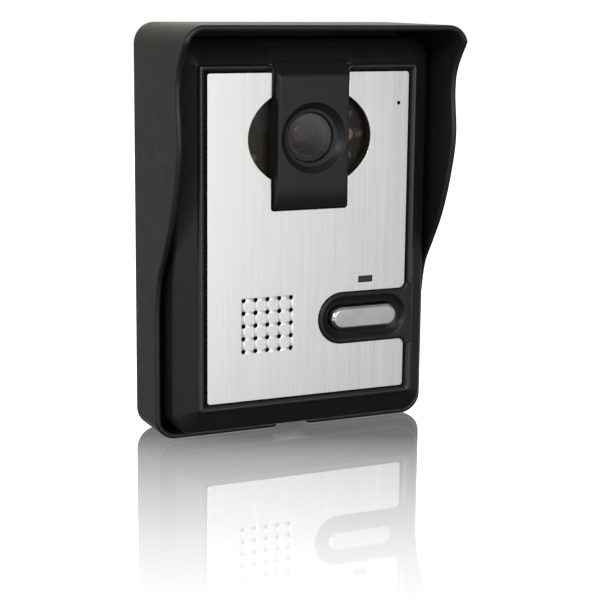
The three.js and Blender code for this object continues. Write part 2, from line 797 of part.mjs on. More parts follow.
// Centre line of a compression spring along -Y.
class SpringLine extends THREE.Curve {
  getPoint(share) {
    const angle = share * spring.turns * 2 * Math.PI;
    const depth = spring.back + share * (spring.front - spring.back);
    return new THREE.Vector3(spring.radius * Math.cos(angle), -depth, spring.radius * Math.sin(angle));
  }
}

function buttonSpringSolid() {
  const wire = new THREE.Shape().absarc(0, 0, spring.wire, 0, 2 * Math.PI);
  const geometry = new THREE.ExtrudeGeometry(wire, {
    steps: 45,
    curveSegments: 2,
    bevelEnabled: false,
    extrudePath: new SpringLine(),
  });
  return toSolid(geometry);
}

// ---------------------------------------------------------------- indicator

function lightPipeSolid() {
  const tip = slotBox(indicator, 22, 32.3, -0.2);
  return tip.add(slotBox(indicator, 27.6, 29, 0.9));
}

function statusLedSolid() {
  const back = mainBoard.front + 0.1;
  return slab(roundedRect(5, 2, 0.3, indicator.x, indicator.z), back, 21.6, 1);
}

// ---------------------------------------------------------------- speaker

function speakerBasketSolid() {
  return turned([
    [12.6, 28.2], [14.2, 28.2], [14.2, 27.2], [13.4, 27], [9, 22.9], [5, 22.9], [5, 23.7],
    [8.6, 23.7], [12.6, 27.4], [12.6, 28.2],
  ], grille.x, grille.z, 20);
}

function speakerMagnetSolid() {
  return turned([
    [0, 22.7], [8, 22.7], [8, 19.8], [7.4, 19.2], [0, 19.2],
  ], grille.x, grille.z, 20);
}

// The paper cone with its rolled edge and a dust cap in the middle.
function speakerConeSolid() {
  return turned([
    [0, 26.4], [2, 26], [3.4, 25.1], [10, 27.1], [11, 27.7], [12.2, 27.6], [12.2, 27.3],
    [11, 27.3], [10, 26.7], [3.4, 24.6], [0, 24.6],
  ], grille.x, grille.z, 20);
}

function speakerGasketSolid() {
  return collar(14.2, 12.2, 28.4, 29, grille.x, grille.z);
}

// ---------------------------------------------------------------- microphone

function micCapsuleSolid() {
  return turned([
    [0, 26.9], [2.7, 26.9], [3, 26.6], [3, 24.4], [0, 24.4],
  ], microphone.x, microphone.z, 16);
}

function micBootSolid() {
  return turned([
    [0.7, 29], [3.4, 29], [4, 28.4], [4, 23.6], [3.25, 23.6], [3.25, 27.2], [0.7, 27.2], [0.7, 29],
  ], microphone.x, microphone.z, 16);
}

// ---------------------------------------------------------------- assembly

const panel = new THREE.Group();
const station = new THREE.Group();
station.position.z = plate.centreZ;
panel.add(station);

function addPart(group, name, solid, finish, x = 0, depth = 0, z = 0) {
  const mesh = new THREE.Mesh(toGeometry(solid), finish);
  mesh.name = name;
  mesh.position.set(x, -depth, z);
  group.add(mesh);
  return mesh;
}

function addScrews(prefix, places, headTop, solid) {
  places.forEach(([x, z], index) => {
    addPart(station, `${prefix}_${index + 1}`, solid, materials.steel, x, headTop, z);
  });
}

function addHousing() {
  addPart(panel, 'rain_hood', rainHoodSolid(), materials.hoodPlastic);
  addPart(station, 'rear_case', rearCaseSolid(), materials.casePlastic);
  addPart(station, 'case_seal', caseSealSolid(), materials.rubber);
  addPart(station, 'front_bezel', frontBezelSolid(), materials.casePlastic);
  addPart(station, 'face_plate', facePlateSolid(), materials.brushedAluminium);
  addPart(station, 'plate_tape', plateTapeSolid(), materials.tape);
}

function addCamera() {
  addPart(station, 'camera_board', cameraBoardSolid(), materials.circuitBoard);
  addPart(station, 'image_sensor', imageSensorSolid(), materials.sensorDie);
  addPart(station, 'lens_holder', lensHolderSolid(), materials.casePlastic);
  addPart(station, 'lens_barrel', lensBarrelSolid(), materials.blackAnodised);
  addPart(station, 'lens_front_element', frontElementSolid(), materials.lensGlass);
  addPart(station, 'lens_window', lensWindowSolid(), materials.clearGlass);
}

function addInfraredLamp() {
  addPart(station, 'ir_window', irWindowSolid(), materials.tintedAcrylic);
  addPart(station, 'ir_board', irBoardSolid(), materials.circuitBoard);
  irLedPlaces.forEach(([x, z], index) => {
    addPart(station, `ir_led_${index + 1}`, irLedSolid(), materials.clearLed, x, 0, lens.z + z);
  });
  addPart(station, 'light_sensor', lightSensorSolid(), materials.photocell);
}

function addMainBoard() {
  addPart(station, 'main_board', mainBoardSolid(), materials.circuitBoard);
  addPart(station, 'processor_chip', chipSolid(14, 14, -3, -22), materials.chip);
  addPart(station, 'amplifier_chip', chipSolid(9, 6, -26, -40), materials.chip);
  addPart(station, 'capacitor_1', capacitorSolid(), materials.capacitorSleeve, -28, 0, -8);
  addPart(station, 'capacitor_2', capacitorSolid(), materials.capacitorSleeve, -28, 0, -20);
  addPart(station, 'camera_ribbon', cameraRibbonSolid(), materials.ribbonCable);
  addPart(station, 'terminal_block', terminalBlockSolid(), materials.terminalPlastic);
  const places = [];
  for (let i = 0; i < terminal.count; i += 1) places.push([terminalX(i), terminal.z + 1]);
  addScrews('terminal_screw', places, terminal.back + 0.5, screwSolid(1.7, 1, 1.1, 4));
}

function addButton() {
  addPart(station, 'call_button', callButtonSolid(), materials.chrome);
  addPart(station, 'tact_switch', tactSwitchSolid(), materials.switchPlastic);
  addPart(station, 'switch_stem', switchStemSolid(), materials.stemPlastic);
  addPart(station, 'button_spring_left', buttonSpringSolid(), materials.steel,
    button.x - spring.offset, 0, button.z);
  addPart(station, 'button_spring_right', buttonSpringSolid(), materials.steel,
    button.x + spring.offset, 0, button.z);
}

function addIndicator() {
  addPart(station, 'led_light_pipe', lightPipeSolid(), materials.tintedAcrylic);
  addPart(station, 'status_led', statusLedSolid(), materials.clearLed);
}

function addSound() {
  addPart(station, 'speaker_basket', speakerBasketSolid(), materials.speakerSteel);
  addPart(station, 'speaker_magnet', speakerMagnetSolid(), materials.speakerSteel);
  addPart(station, 'speaker_cone', speakerConeSolid(), materials.paperCone);
  addPart(station, 'speaker_gasket', speakerGasketSolid(), materials.foam);
  addPart(station, 'mic_capsule', micCapsuleSolid(), materials.speakerSteel);
  addPart(station, 'mic_boot', micBootSolid(), materials.rubber);
}

function addFasteners() {
  addScrews('case_screw', caseScrewPlaces(), rear.back + 0.4, screwSolid(2.6, 2, 1.2, 18));
  addScrews('board_screw', mainBoardScrewPlaces(), mainBoard.back - 1.6, screwSolid(2.2, 1.4, 1, 8));
  addScrews('camera_screw', cameraScrewPlaces(), cameraBoard.back - 1.6, screwSolid(2.2, 1.4, 1, 8));
  addScrews('ir_screw', infraredScrewPlaces(), infraredBoard.back - 1.5, screwSolid(1.9, 1.3, 0.8, 7));
  const fixingScrew = addPart(panel, 'bottom_fixing_screw', screwSolid(2.6, 1.2, 1.3, 9),
    materials.steel, 0, fixing.depth, -hood.height / 2 + 0.15);
  fixingScrew.rotation.x = -Math.PI / 2;
}

addHousing();
addCamera();
addInfraredLamp();
addMainBoard();
addButton();
addIndicator();
addSound();
addFasteners();

export default panel;
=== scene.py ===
# Door intercom panel: an outdoor video door station held in its rain hood.
#
# Every piece is drawn in millimetres as (x, depth, z), where depth is the distance from the
# wall, and is made in metres in the frame's own axes, so its Y is minus its depth. Pieces of
# the station are drawn about the middle of the face plate and are lowered with it.

import math

import bmesh
import bpy
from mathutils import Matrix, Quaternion, Vector
from mathutils.geometry import delaunay_2d_cdt


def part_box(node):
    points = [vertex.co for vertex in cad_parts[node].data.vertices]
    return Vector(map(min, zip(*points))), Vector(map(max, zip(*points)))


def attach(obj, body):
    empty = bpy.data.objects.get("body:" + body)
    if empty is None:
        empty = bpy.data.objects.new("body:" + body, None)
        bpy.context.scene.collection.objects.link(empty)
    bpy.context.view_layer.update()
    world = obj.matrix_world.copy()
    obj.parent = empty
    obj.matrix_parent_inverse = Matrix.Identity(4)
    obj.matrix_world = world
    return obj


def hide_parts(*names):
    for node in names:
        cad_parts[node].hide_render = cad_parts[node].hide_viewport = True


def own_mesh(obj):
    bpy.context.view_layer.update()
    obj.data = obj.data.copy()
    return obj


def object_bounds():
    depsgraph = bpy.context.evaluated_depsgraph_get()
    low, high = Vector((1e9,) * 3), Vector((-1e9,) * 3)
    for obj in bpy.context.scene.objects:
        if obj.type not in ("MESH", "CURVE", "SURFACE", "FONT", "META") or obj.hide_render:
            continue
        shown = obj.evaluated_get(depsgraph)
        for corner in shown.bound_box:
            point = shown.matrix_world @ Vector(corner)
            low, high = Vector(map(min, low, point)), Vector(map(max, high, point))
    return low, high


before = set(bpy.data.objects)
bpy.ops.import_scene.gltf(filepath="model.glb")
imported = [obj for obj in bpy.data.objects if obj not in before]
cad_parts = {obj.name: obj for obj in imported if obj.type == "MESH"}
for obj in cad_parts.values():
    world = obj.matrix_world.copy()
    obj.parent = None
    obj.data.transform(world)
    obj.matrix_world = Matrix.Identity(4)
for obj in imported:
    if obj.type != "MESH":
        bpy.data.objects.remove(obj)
cad_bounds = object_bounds()

MM = 0.001


# ---------------------------------------------------------------- sizes from the frame

class Extent:
    """The box of a CAD node, in millimetres."""

    def __init__(self, node):
        low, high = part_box(node)
        self.width = high.x / MM - low.x / MM
        self.height = high.z / MM - low.z / MM
        self.z = (low.z / MM + high.z / MM) / 2
        self.back = -high.y / MM
        self.front = -low.y / MM


hood = Extent("rain_hood")
bezel = Extent("front_bezel")
plate = Extent("face_plate")
cap = Extent("call_button")

DROP = plate.z  # the station's drawing centre, below the hood's

HOOD_RADIUS = 7.5
HOOD_WALL = 2
HOOD_BACK = 2.4
HOOD_LIP = 20.8
NOTCH_HALF = 6
NOTCH_DEPTH = 10
SILL_SCREW_DEPTH = 8

LENS_Z = 34.4
OVAL_HALF_WIDTH = 23.3
OVAL_HALF_HEIGHT = 17.9
SLOT_HALF = 14.6
SLOT_BOTTOM = 9.5

BLOCK_FRONT = 35.8
BLOCK_HALF_BASE = 14.3
BLOCK_HALF_FRONT = 13.3
BLOCK_SHELF = 31.6  # how far forward the frame reaches under the top of the block

FRAME_BACK = 12.7
FRAME_LOW = 25.6  # where the side walls start to turn into the slope
FRAME_SHOULDER = 27.4
FRAME_CORNER = 7.6
FLOOR_BACK = 29.2
FLOOR_FRONT = 31.2
# Half width and depth across the bead round the plate, from the slope to the floor.
BEAD = [(41.5, 32.15), (41.42, 32.6), (41.24, 33.05), (40.92, 33.4), (40.5, 33.56), (40.1, 33.5),
        (39.75, 33.3), (39.45, 32.98), (39.2, 32.55), (39.0, 32.05), (38.85, 31.6), (38.7, 31.35),
        (38.5, FLOOR_FRONT)]
BEAD_TALLER = 18.1  # how much further the bead reaches up than across
BEAD_CORNER = 1.3

GRILLE_X = -15.7
GRILLE_Z = -30.05
GRILLE_PITCH = 4.5
GRILLE_COUNT = 5
GRILLE_RADIUS = 0.75
MIC_X = 34.25
MIC_Z = 45.6
INDICATOR_X = 22.3
INDICATOR_Z = -16.4

DISH_LEFT = 13.16
DISH_RIGHT = 30.4
BUTTON_Z = -29.9
BUTTON_RADIUS = 4.05
BUTTON_ENDS = (12.85, 30.75)
PAD_RADIUS = 9.3
PAD_CREST = 33.7


# ---------------------------------------------------------------- outlines, as (x, z)

def arc(x, z, radius, start, end, steps):
    """Points on an arc, with angles in degrees, counterclockwise when end is larger."""
    points = []
    for i in range(steps + 1):
        angle = math.radians(start + (end - start) * i / steps)
        points.append((x + radius * math.cos(angle), z + radius * math.sin(angle)))
    return points


def oval_arc(start, end, steps):
    """Part of the edge of the infra-red window's opening."""
    points = arc(0, 0, 1, start, end, steps)
    return [(x * OVAL_HALF_WIDTH, LENS_Z + z * OVAL_HALF_HEIGHT) for x, z in points]


def round_rect(half_width, half_height, radius, steps=8, x=0, z=0):
    points = []
    for side_x, side_z, start in ((1, -1, -90), (1, 1, 0), (-1, 1, 90), (-1, -1, 180)):
        corner_x = x + side_x * (half_width - radius)
        corner_z = z + side_z * (half_height - radius)
        points += arc(corner_x, corner_z, radius, start, start + 90, steps)
    return points


def pill(left, right, z, radius, steps=20):
    return arc(right, z, radius, -90, 90, steps) + arc(left, z, radius, 90, 270, steps)


def circle(x, z, radius, steps=32, turn=0.0):
    return arc(x, z, radius, turn, turn + 360, steps)[:-1]


def without_repeats(points):
    kept = []
    for point in points:
        if not kept or math.dist(point, kept[-1]) > 1e-4:
            kept.append(point)
    if math.dist(kept[0], kept[-1]) < 1e-4:
        kept.pop()
    return kept


def moved_in(points, distance):
    """A counterclockwise outline moved inwards; a negative distance moves it out."""
    count = len(points)
    result = []
    for i, (x, z) in enumerate(points):
        before, after = points[i - 1], points[(i + 1) % count]
        a = Vector((x - before[0], z - before[1])).normalized()
        b = Vector((after[0] - x, after[1] - z)).normalized()
        normal_a, normal_b = Vector((-a.y, a.x)), Vector((-b.y, b.x))
        middle = (normal_a + normal_b).normalized()
        reach = distance / max(0.5, middle.dot(normal_a))
        result.append((x + middle.x * reach, z + middle.y * reach))
    return result


def is_inside(point, corners, edges):
    """Whether an even-odd count of the edges above a point puts it inside the outlines."""
    inside = False
    for i, j in edges:
        a, b = corners[i], corners[j]
        if (a.x > point.x) != (b.x > point.x):
            share = (point.x - a.x) / (b.x - a.x)
            if a.y + (b.y - a.y) * share > point.y:
                inside = not inside
    return inside


def quarter_turn(steps, first=0):
    """The (sine, cosine) of angles from 0 to 90 degrees."""
    angles = [math.pi / 2 * i / steps for i in range(first, steps + 1)]
    return [(math.sin(angle), math.cos(angle)) for angle in angles]


def rounded_side(back, front, edge, steps):
    """(inset, depth) pairs up the side of a slab with both edges rounded."""
    turn = quarter_turn(steps)
    pairs = [(edge * (1 - sine), back + edge * (1 - cosine)) for sine, cosine in turn]
    return pairs + [(edge * (1 - cosine), front - edge * (1 - sine)) for sine, cosine in turn]


def blend(a, b, share):
    return tuple(p + (q - p) * share for p, q in zip(a, b))


# ---------------------------------------------------------------- building closed meshes

class Build:
    """Collects the loops and faces of one mesh."""

    def __init__(self, drop=DROP):
        self.points = []
        self.faces = []
        self.finishes = []
        self.drop = drop

    def place(self, points):
        """Adds (x, depth, z) points and gives their indices."""
        first = len(self.points)
        self.points += [(x * MM, -depth * MM, (z + self.drop) * MM) for x, depth, z in points]
        return list(range(first, len(self.points)))

    def ring(self, outline, depth):
        return self.place([(x, depth, z) for x, z in outline])

    def face(self, corners, finish=0):
        self.faces.append(tuple(corners))
        self.finishes.append(finish)

    def bridge(self, ring_a, ring_b, finish=0):
        for i in range(len(ring_a)):
            self.face((ring_a[i - 1], ring_a[i], ring_b[i], ring_b[i - 1]), finish)

    def bridge_all(self, rings, finish=0):
        for ring_a, ring_b in zip(rings, rings[1:]):
            self.bridge(ring_a, ring_b, finish)

    def fill(self, rings, finish=0):
        """Closes a flat face whose outer edge is the first ring and whose holes are the rest."""
        indices = [i for ring in rings for i in ring]
        flat = [Vector((self.points[i][0] / MM, self.points[i][2] / MM)) for i in indices]
        edges = []
        first = 0
        for ring in rings:
            count = len(ring)
            edges += [(first + i, first + (i + 1) % count) for i in range(count)]
            first += count
        points, _, triangles, sources, _, _ = delaunay_2d_cdt(flat, edges, [], 1, 1e-6)
        for triangle in triangles:
            middle = sum((points[i] for i in triangle), Vector((0, 0))) / 3
            if is_inside(middle, flat, edges):
                self.face((indices[sources[i][0]] for i in triangle), finish)

    def fan(self, ring, point):
        tip = self.place([point])[0]
        for i in range(len(ring)):
            self.face((ring[i - 1], ring[i], tip))

    def rod(self, rings):
        """Closes a solid through the rings, with flat ends."""
        self.bridge_all(rings)
        self.face(rings[0])
        self.face(rings[-1])

    def wall(self, outline, back, front, edge, steps, inward=1):
        """A wall with rounded edges round an outline. Gives its back and front rings."""
        rings = [self.ring(moved_in(outline, inward * inset), depth)
                 for inset, depth in rounded_side(back, front, edge, steps)]
        self.bridge_all(rings)
        return rings[0], rings[-1]

    def object(self, name, materials=()):
        mesh = bpy.data.meshes.new(name)
        mesh.from_pydata(self.points, [], self.faces)
        for material in materials:
            mesh.materials.append(material)
        for polygon, finish in zip(mesh.polygons, self.finishes):
            polygon.material_index = finish
        made = bpy.data.objects.new(name, mesh)
        bpy.context.scene.collection.objects.link(made)
        clean(made)
        return made


def clean(made):
    shape = bmesh.new()
    shape.from_mesh(made.data)
    bmesh.ops.remove_doubles(shape, verts=shape.verts, dist=1e-6)
    bmesh.ops.dissolve_degenerate(shape, edges=shape.edges, dist=1e-7)
    bmesh.ops.recalc_face_normals(shape, faces=shape.faces)
    shape.to_mesh(made.data)
    shape.free()


def apply_modifiers(made):
    graph = bpy.context.evaluated_depsgraph_get()
    graph.update()
    result = bpy.data.meshes.new_from_object(made.evaluated_get(graph))
    made.modifiers.clear()
    old = made.data
    made.data = result
    bpy.data.meshes.remove(old)


def combine(made, operation, *tools):
    """Adds the tools to a piece, or cuts them out of it, and removes them."""
    for tool in tools:
        modifier = made.modifiers.new("combine", "BOOLEAN")
        modifier.operation = operation
        modifier.solver = "MANIFOLD"
        modifier.object = tool
    apply_modifiers(made)
    for tool in tools:
        bpy.data.objects.remove(tool)
    clean(made)
    return made


def add(made, *tools):
    return combine(made, "UNION", *tools)


def cut(made, *tools):
    return combine(made, "DIFFERENCE", *tools)


def lathe(name, profile, x=0, z=0, steps=48):
    """A turned solid about an axis along Y, from (radius, depth) pairs."""
    build = Build()
    rings = []
    for radius, depth in profile:
        if radius > 0:
            rings.append(build.ring(circle(x, z, radius, steps), depth))
    build.bridge_all(rings)
    if profile[0][0] > 0 and profile[-1][0] > 0:
        build.bridge(rings[-1], rings[0])
    else:
        build.fan(rings[0], (x, profile[0][1], z))
        build.fan(rings[-1], (x, profile[-1][1], z))
    return build.object(name)


def slab(name, outline, back, front, edge=0.2, holes=(), drop=DROP, steps=3):
    """A flat piece with rounded edges all round, and round its holes."""
    build = Build(drop)
    walls = [build.wall(without_repeats(outline), back, front, edge, steps)]
    for hole in holes:
        walls.append(build.wall(hole, back, front, edge, steps, -1))
    for rings in zip(*walls):
        build.fill(rings)
    return build.object(name)


def finish(made, body, slot, node, material=None, sharp=38):
    """Shades a piece, gives it a material unless it came with its own, and places it."""
    if material:
        made.data.materials.clear()
        made.data.materials.append(material)
    made.data.shade_smooth()
    made.data.set_sharp_from_angle(angle=math.radians(sharp))
    normals = made.modifiers.new("normals", "WEIGHTED_NORMAL")
    normals.keep_sharp = True
    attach(made, body)
    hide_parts(node)


# ---------------------------------------------------------------- materials

class NodeTree:
    """The nodes of a material or of the world."""

    def __init__(self, owner):
        owner.use_nodes = True
        self.nodes = owner.node_tree.nodes
        self.links = owner.node_tree.links

    def feed(self, node, inputs):
        """Gives a node's inputs, by name or place, values to keep or sockets to follow."""
        for key, value in inputs.items():
            if isinstance(value, bpy.types.NodeSocket):
                self.links.new(value, node.inputs[key])
            else:
                node.inputs[key].default_value = value

    def node(self, kind, inputs, **settings):
        """Adds a node with its settings and inputs."""
        made = self.nodes.new(f"ShaderNode{kind}")
        for name, value in settings.items():
            setattr(made, name, value)
        self.feed(made, inputs)
        return made

    def along(self, vector, axis):
        """How far a vector reaches along an axis."""
        inputs = {0: vector, 1: axis}
        return self.node("VectorMath", inputs, operation="DOT_PRODUCT").outputs["Value"]

    def remap(self, value, low, high, from_low=0.3, from_high=0.7):
        inputs = {"Value": value, "From Min": from_low, "From Max": from_high,
                  "To Min": low, "To Max": high}
        return self.node("MapRange", inputs).outputs["Result"]

    def ramp(self, value, stops):
        """A colour from a value, through (position, colour) stops."""
        node = self.node("ValToRGB", {"Fac": value})
        elements = node.color_ramp.elements
        while len(elements) < len(stops):
            elements.new(0.5)
        for element, (position, color) in zip(elements, stops):
            element.position = position
            element.color = (*color, 1)
        return node.outputs["Color"]

    def mix(self, kind, first, second, share=1.0):
        """Two colours blended."""
        inputs = {"Fac": share, "Color1": first, "Color2": second}
        return self.node("MixRGB", inputs, blend_type=kind).outputs["Color"]


class Surface(NodeTree):
    """A Principled material with nodes that read the piece's own coordinates."""

    def __init__(self, name, color, roughness, metallic=0.0, **sockets):
        self.material = bpy.data.materials.new(name)
        super().__init__(self.material)
        self.shader = self.nodes["Principled BSDF"]
        self.feed(self.shader, {"Base Color": (*color, 1), "Roughness": roughness,
                                "Metallic": metallic})
        for socket, value in sockets.items():
            self.shader.inputs[socket.replace("_", " ")].default_value = value
        self.color = color
        self.roughness = roughness
        self.coordinates = self.nodes.new("ShaderNodeTexCoord").outputs["Object"]

    def noise(self, size, stretch=(1, 1, 1), detail=2.0, roughness=0.5):
        """Noise with features of a size in millimetres, stretched along the axes."""
        mapping = self.node("Mapping", {"Vector": self.coordinates,
                                        "Scale": [1 / s for s in stretch]})
        texture = self.node("TexNoise", {"Vector": mapping.outputs["Vector"],
                                         "Scale": 1 / (size * MM), "Detail": detail,
                                         "Roughness": roughness})
        return texture.outputs["Fac"]

    def vary_color(self, value, low, high):
        """Base colour between two multiples of the surface's colour."""
        stops = [(0.3, [c * low for c in self.color]), (0.7, [c * high for c in self.color])]
        self.feed(self.shader, {"Base Color": self.ramp(value, stops)})

    def vary_roughness(self, value, spread):
        result = self.remap(value, self.roughness - spread, self.roughness + spread)
        self.feed(self.shader, {"Roughness": result})

    def bump(self, value, height):
        """Raises the surface by up to a height in millimetres."""
        node = self.node("Bump", {"Strength": 1, "Distance": height * MM, "Height": value})
        self.feed(self.shader, {"Normal": node.outputs["Normal"]})

    def mix_shaders(self, share, first, second):
        inputs = {0: share, 1: first.outputs[0], 2: second.outputs[0]}
        return self.node("MixShader", inputs)

    def show(self, shader):
        self.feed(self.nodes["Material Output"], {"Surface": shader.outputs[0]})


def grained(name, color, roughness, grain=0.35, height=0.012, patch=14, **sockets):
    """Moulded plastic or rubber: spark-eroded grain, soft patches and uneven gloss."""
    surface = Surface(name, color, roughness, **sockets)
    surface.vary_color(surface.noise(patch, detail=3), 0.93, 1.07)
    surface.vary_roughness(surface.noise(patch * 0.4, detail=4), 0.03)
    surface.bump(surface.noise(grain, detail=3, roughness=0.6), height)
    return surface.material


def brushed(name, color, roughness):
    """Aluminium sheet brushed from top to bottom."""
    surface = Surface(name, color, roughness, metallic=1.0)
    lines = surface.noise(0.5, (1, 1, 70), detail=4, roughness=0.75)
    bands = surface.noise(3.0, (1, 1, 30), detail=2)
    inputs = {0: lines, 1: 0.7, 2: surface.remap(bands, 0.0, 0.3, 0.0, 1.0)}
    mixed = surface.node("Math", inputs, operation="MULTIPLY_ADD").outputs[0]
    surface.vary_color(mixed, 0.83, 1.08)
    surface.vary_roughness(mixed, 0.06)
    surface.bump(lines, 0.0025)
    return surface.material


def cast_metal(name, color, roughness, grain=0.6, height=0.002):
    surface = Surface(name, color, roughness, metallic=1.0)
    surface.vary_color(surface.noise(4, detail=3), 0.92, 1.06)
    surface.vary_roughness(surface.noise(grain, detail=3), roughness * 0.25)
    surface.bump(surface.noise(grain * 0.5, detail=2), height)
    return surface.material


def see_through(name, lower, upper, axis, between, clear, share, ior):
    """A window: its own tint, which turns along an axis into a lighter colour that is a painted
    reflection; light let through, and a shine.
    """
    surface = Surface(name, lower, 0.4)
    place = surface.along(surface.coordinates, axis)
    fade = surface.remap(place, 0, 1, between[0] * MM, between[1] * MM)
    # Towards the upper colour the base colour holds a painted reflection.
    tint_and_reflection = surface.mix("MIX", (*lower, 1), (*upper, 1), fade)
    surface.feed(surface.shader, {"Base Color": tint_and_reflection})
    surface.vary_roughness(surface.noise(2.5, detail=3), 0.1)
    through = surface.node("BsdfTransparent", {"Color": (*clear, 1)})
    shine = surface.node("BsdfGlossy", {"Roughness": 0.03})
    fresnel = surface.node("Fresnel", {"IOR": ior})
    haze = surface.mix_shaders(share, surface.shader, through)
    surface.show(surface.mix_shaders(fresnel.outputs["Fac"], haze, shine))
    return surface.material


hood_plastic = grained("hood_plastic", (0.0077, 0.0079, 0.0071), 0.5, grain=0.45, height=0.02)
case_plastic = grained("case_plastic", (0.0104, 0.0112, 0.0125), 0.4, grain=0.4, height=0.012,
                       Specular_IOR_Level=0.33)
# A lighter, glossier copy of the case plastic for the bead round the plate: its lighter colour is a
# painted highlight.
bead_painted_highlight_plastic = grained("bead_painted_highlight_plastic", (0.0135, 0.014, 0.0155), 0.27, grain=0.4, height=0.006,
                       Specular_IOR_Level=0.55)
# A darker, matt copy of the case plastic: painted shade in the groove round the plate and on the
# floor behind the plate, where shadow falls.
painted_shade_plastic = grained("painted_shade_plastic", (0.004, 0.0042, 0.0046), 0.8, grain=0.5, height=0.01,
                         Specular_IOR_Level=0.15)
plate_metal = brushed("brushed_aluminium", (0.80, 0.81, 0.80), 0.33)
edge_metal = cast_metal("cut_edge", (0.86, 0.87, 0.87), 0.25)
cap_satin = cast_metal("cap_satin", (0.52, 0.53, 0.52), 0.38, grain=0.5)
cap_polish = cast_metal("cap_polish", (0.66, 0.67, 0.67), 0.16, grain=1.5, height=0.0008)
barrel_black = grained("barrel_black", (0.05, 0.044, 0.044), 0.3, grain=0.2, height=0.002,
                       patch=3, Metallic=0.7)
lens_coating = grained("lens_coating", (0.022, 0.013, 0.011), 0.12, grain=6, height=0.0004,
                       patch=5, Specular_Tint=(0.75, 0.6, 0.95, 1), IOR=1.7)
# The clear window turns lighter violet-grey towards its top: a painted reflection.
clear_window = see_through("clear_window", (0.016, 0.010, 0.009), (0.15, 0.145, 0.155),
                           (0.45, 0, 0.9), (27, 35), (0.97, 0.95, 0.95), 0.7, ior=1.2)
# The tinted window's own dark red-brown turns grey at the top: a painted reflection.
tinted_window = see_through("tinted_window", (0.026, 0.006, 0.003), (0.05, 0.05, 0.053),
                            (-0.1, 0, 1), (36, 41), (0.88, 0.81, 0.76), 0.78, ior=1.18)
circuit_green = grained("circuit_green", (0.012, 0.085, 0.035), 0.35, grain=1.2, height=0.02,
                        patch=2.5)
chip_black = grained("chip_black", (0.012, 0.012, 0.013), 0.5, grain=0.25, height=0.008, patch=2)
sensor_glass = grained("sensor_glass", (0.05, 0.09, 0.12), 0.12, grain=2, height=0.002, patch=1.5)
# The near-white haze of the LED lenses is a painted glint.
clear_lamp = see_through("clear_lamp", (0.9, 0.93, 0.95), (0.95, 0.97, 1.0),
                         (0, 0, 1), (-60, 60), (0.85, 0.88, 0.92), 0.6, ior=1.6)
smoked_lamp = see_through("smoked_lamp", (0.016, 0.013, 0.014), (0.03, 0.026, 0.026),
                          (0, 0, 1), (-18.5, -16), (0.2, 0.17, 0.16), 0.3, ior=1.3)
photocell_face = grained("photocell_face", (0.95, 0.86, 0.76), 0.42, grain=0.5, height=0.02,
                         patch=0.9)
capacitor_sleeve = grained("capacitor_sleeve", (0.014, 0.026, 0.08), 0.3, grain=1.5,
                           height=0.01, patch=4)
terminal_green = grained("terminal_green", (0.02, 0.17, 0.06), 0.42, grain=0.4, patch=5)
steel = cast_metal("steel", (0.52, 0.53, 0.54), 0.3)
switch_black = grained("switch_black", (0.014, 0.014, 0.015), 0.45, grain=0.3, height=0.01, patch=2)
stem_white = grained("stem_white", (0.72, 0.70, 0.62), 0.45, grain=0.3, height=0.006, patch=2)
rubber = grained("rubber", (0.010, 0.010, 0.010), 0.8, grain=0.5, height=0.02, patch=5)
foam = grained("foam", (0.022, 0.022, 0.022), 0.95, grain=0.6, height=0.12, patch=3)
speaker_steel = cast_metal("speaker_steel", (0.45, 0.46, 0.47), 0.36)
cone_paper = grained("cone_paper", (0.030, 0.025, 0.021), 0.88, grain=0.7, height=0.03, patch=2)
tape_white = grained("tape_white", (0.78, 0.76, 0.68), 0.8, grain=0.8, height=0.02, patch=4)
ribbon_grey = grained("ribbon_grey", (0.26, 0.27, 0.28), 0.5, grain=0.6, height=0.01, patch=4)


# ---------------------------------------------------------------- rain hood

def spline_points(knots, steps):
    """A smooth curve through the knots, as the CAD draws the visor's edge."""
    points = []
    for i in range(len(knots) - 1):
        p0, p1 = knots[max(i - 1, 0)], knots[i]
        p2, p3 = knots[i + 1], knots[min(i + 2, len(knots) - 1)]
        for j in range(steps):
            t = j / steps
            point = []
            for a, b, c, d in zip(p0, p1, p2, p3):
                v0, v1 = (c - a) / 2, (d - b) / 2
                point.append((2 * b - 2 * c + v0 + v1) * t ** 3
                             + (-3 * b + 3 * c - 2 * v0 - v1) * t ** 2 + v0 * t + b)
            points.append(tuple(point))
    points.append(knots[-1])
    return points


VISOR_EDGE = spline_points([
    (-26, HOOD_LIP), (-15, 23.2), (-5.5, 28.8), (4.5, 34.5), (18, 39.6),
    (33, 42.8), (49, 41.4), (57.5, 43), (66.5, hood.front),
], 12)


def visor_depth(z):
    """How far the hood's side wall reaches from the wall at a height."""
    if z <= VISOR_EDGE[0][0]:
        return HOOD_LIP
    for (z0, d0), (z1, d1) in zip(VISOR_EDGE, VISOR_EDGE[1:]):
        if z <= z1:
            return d0 + (d1 - d0) * (z - z0) / (z1 - z0)
    return hood.front


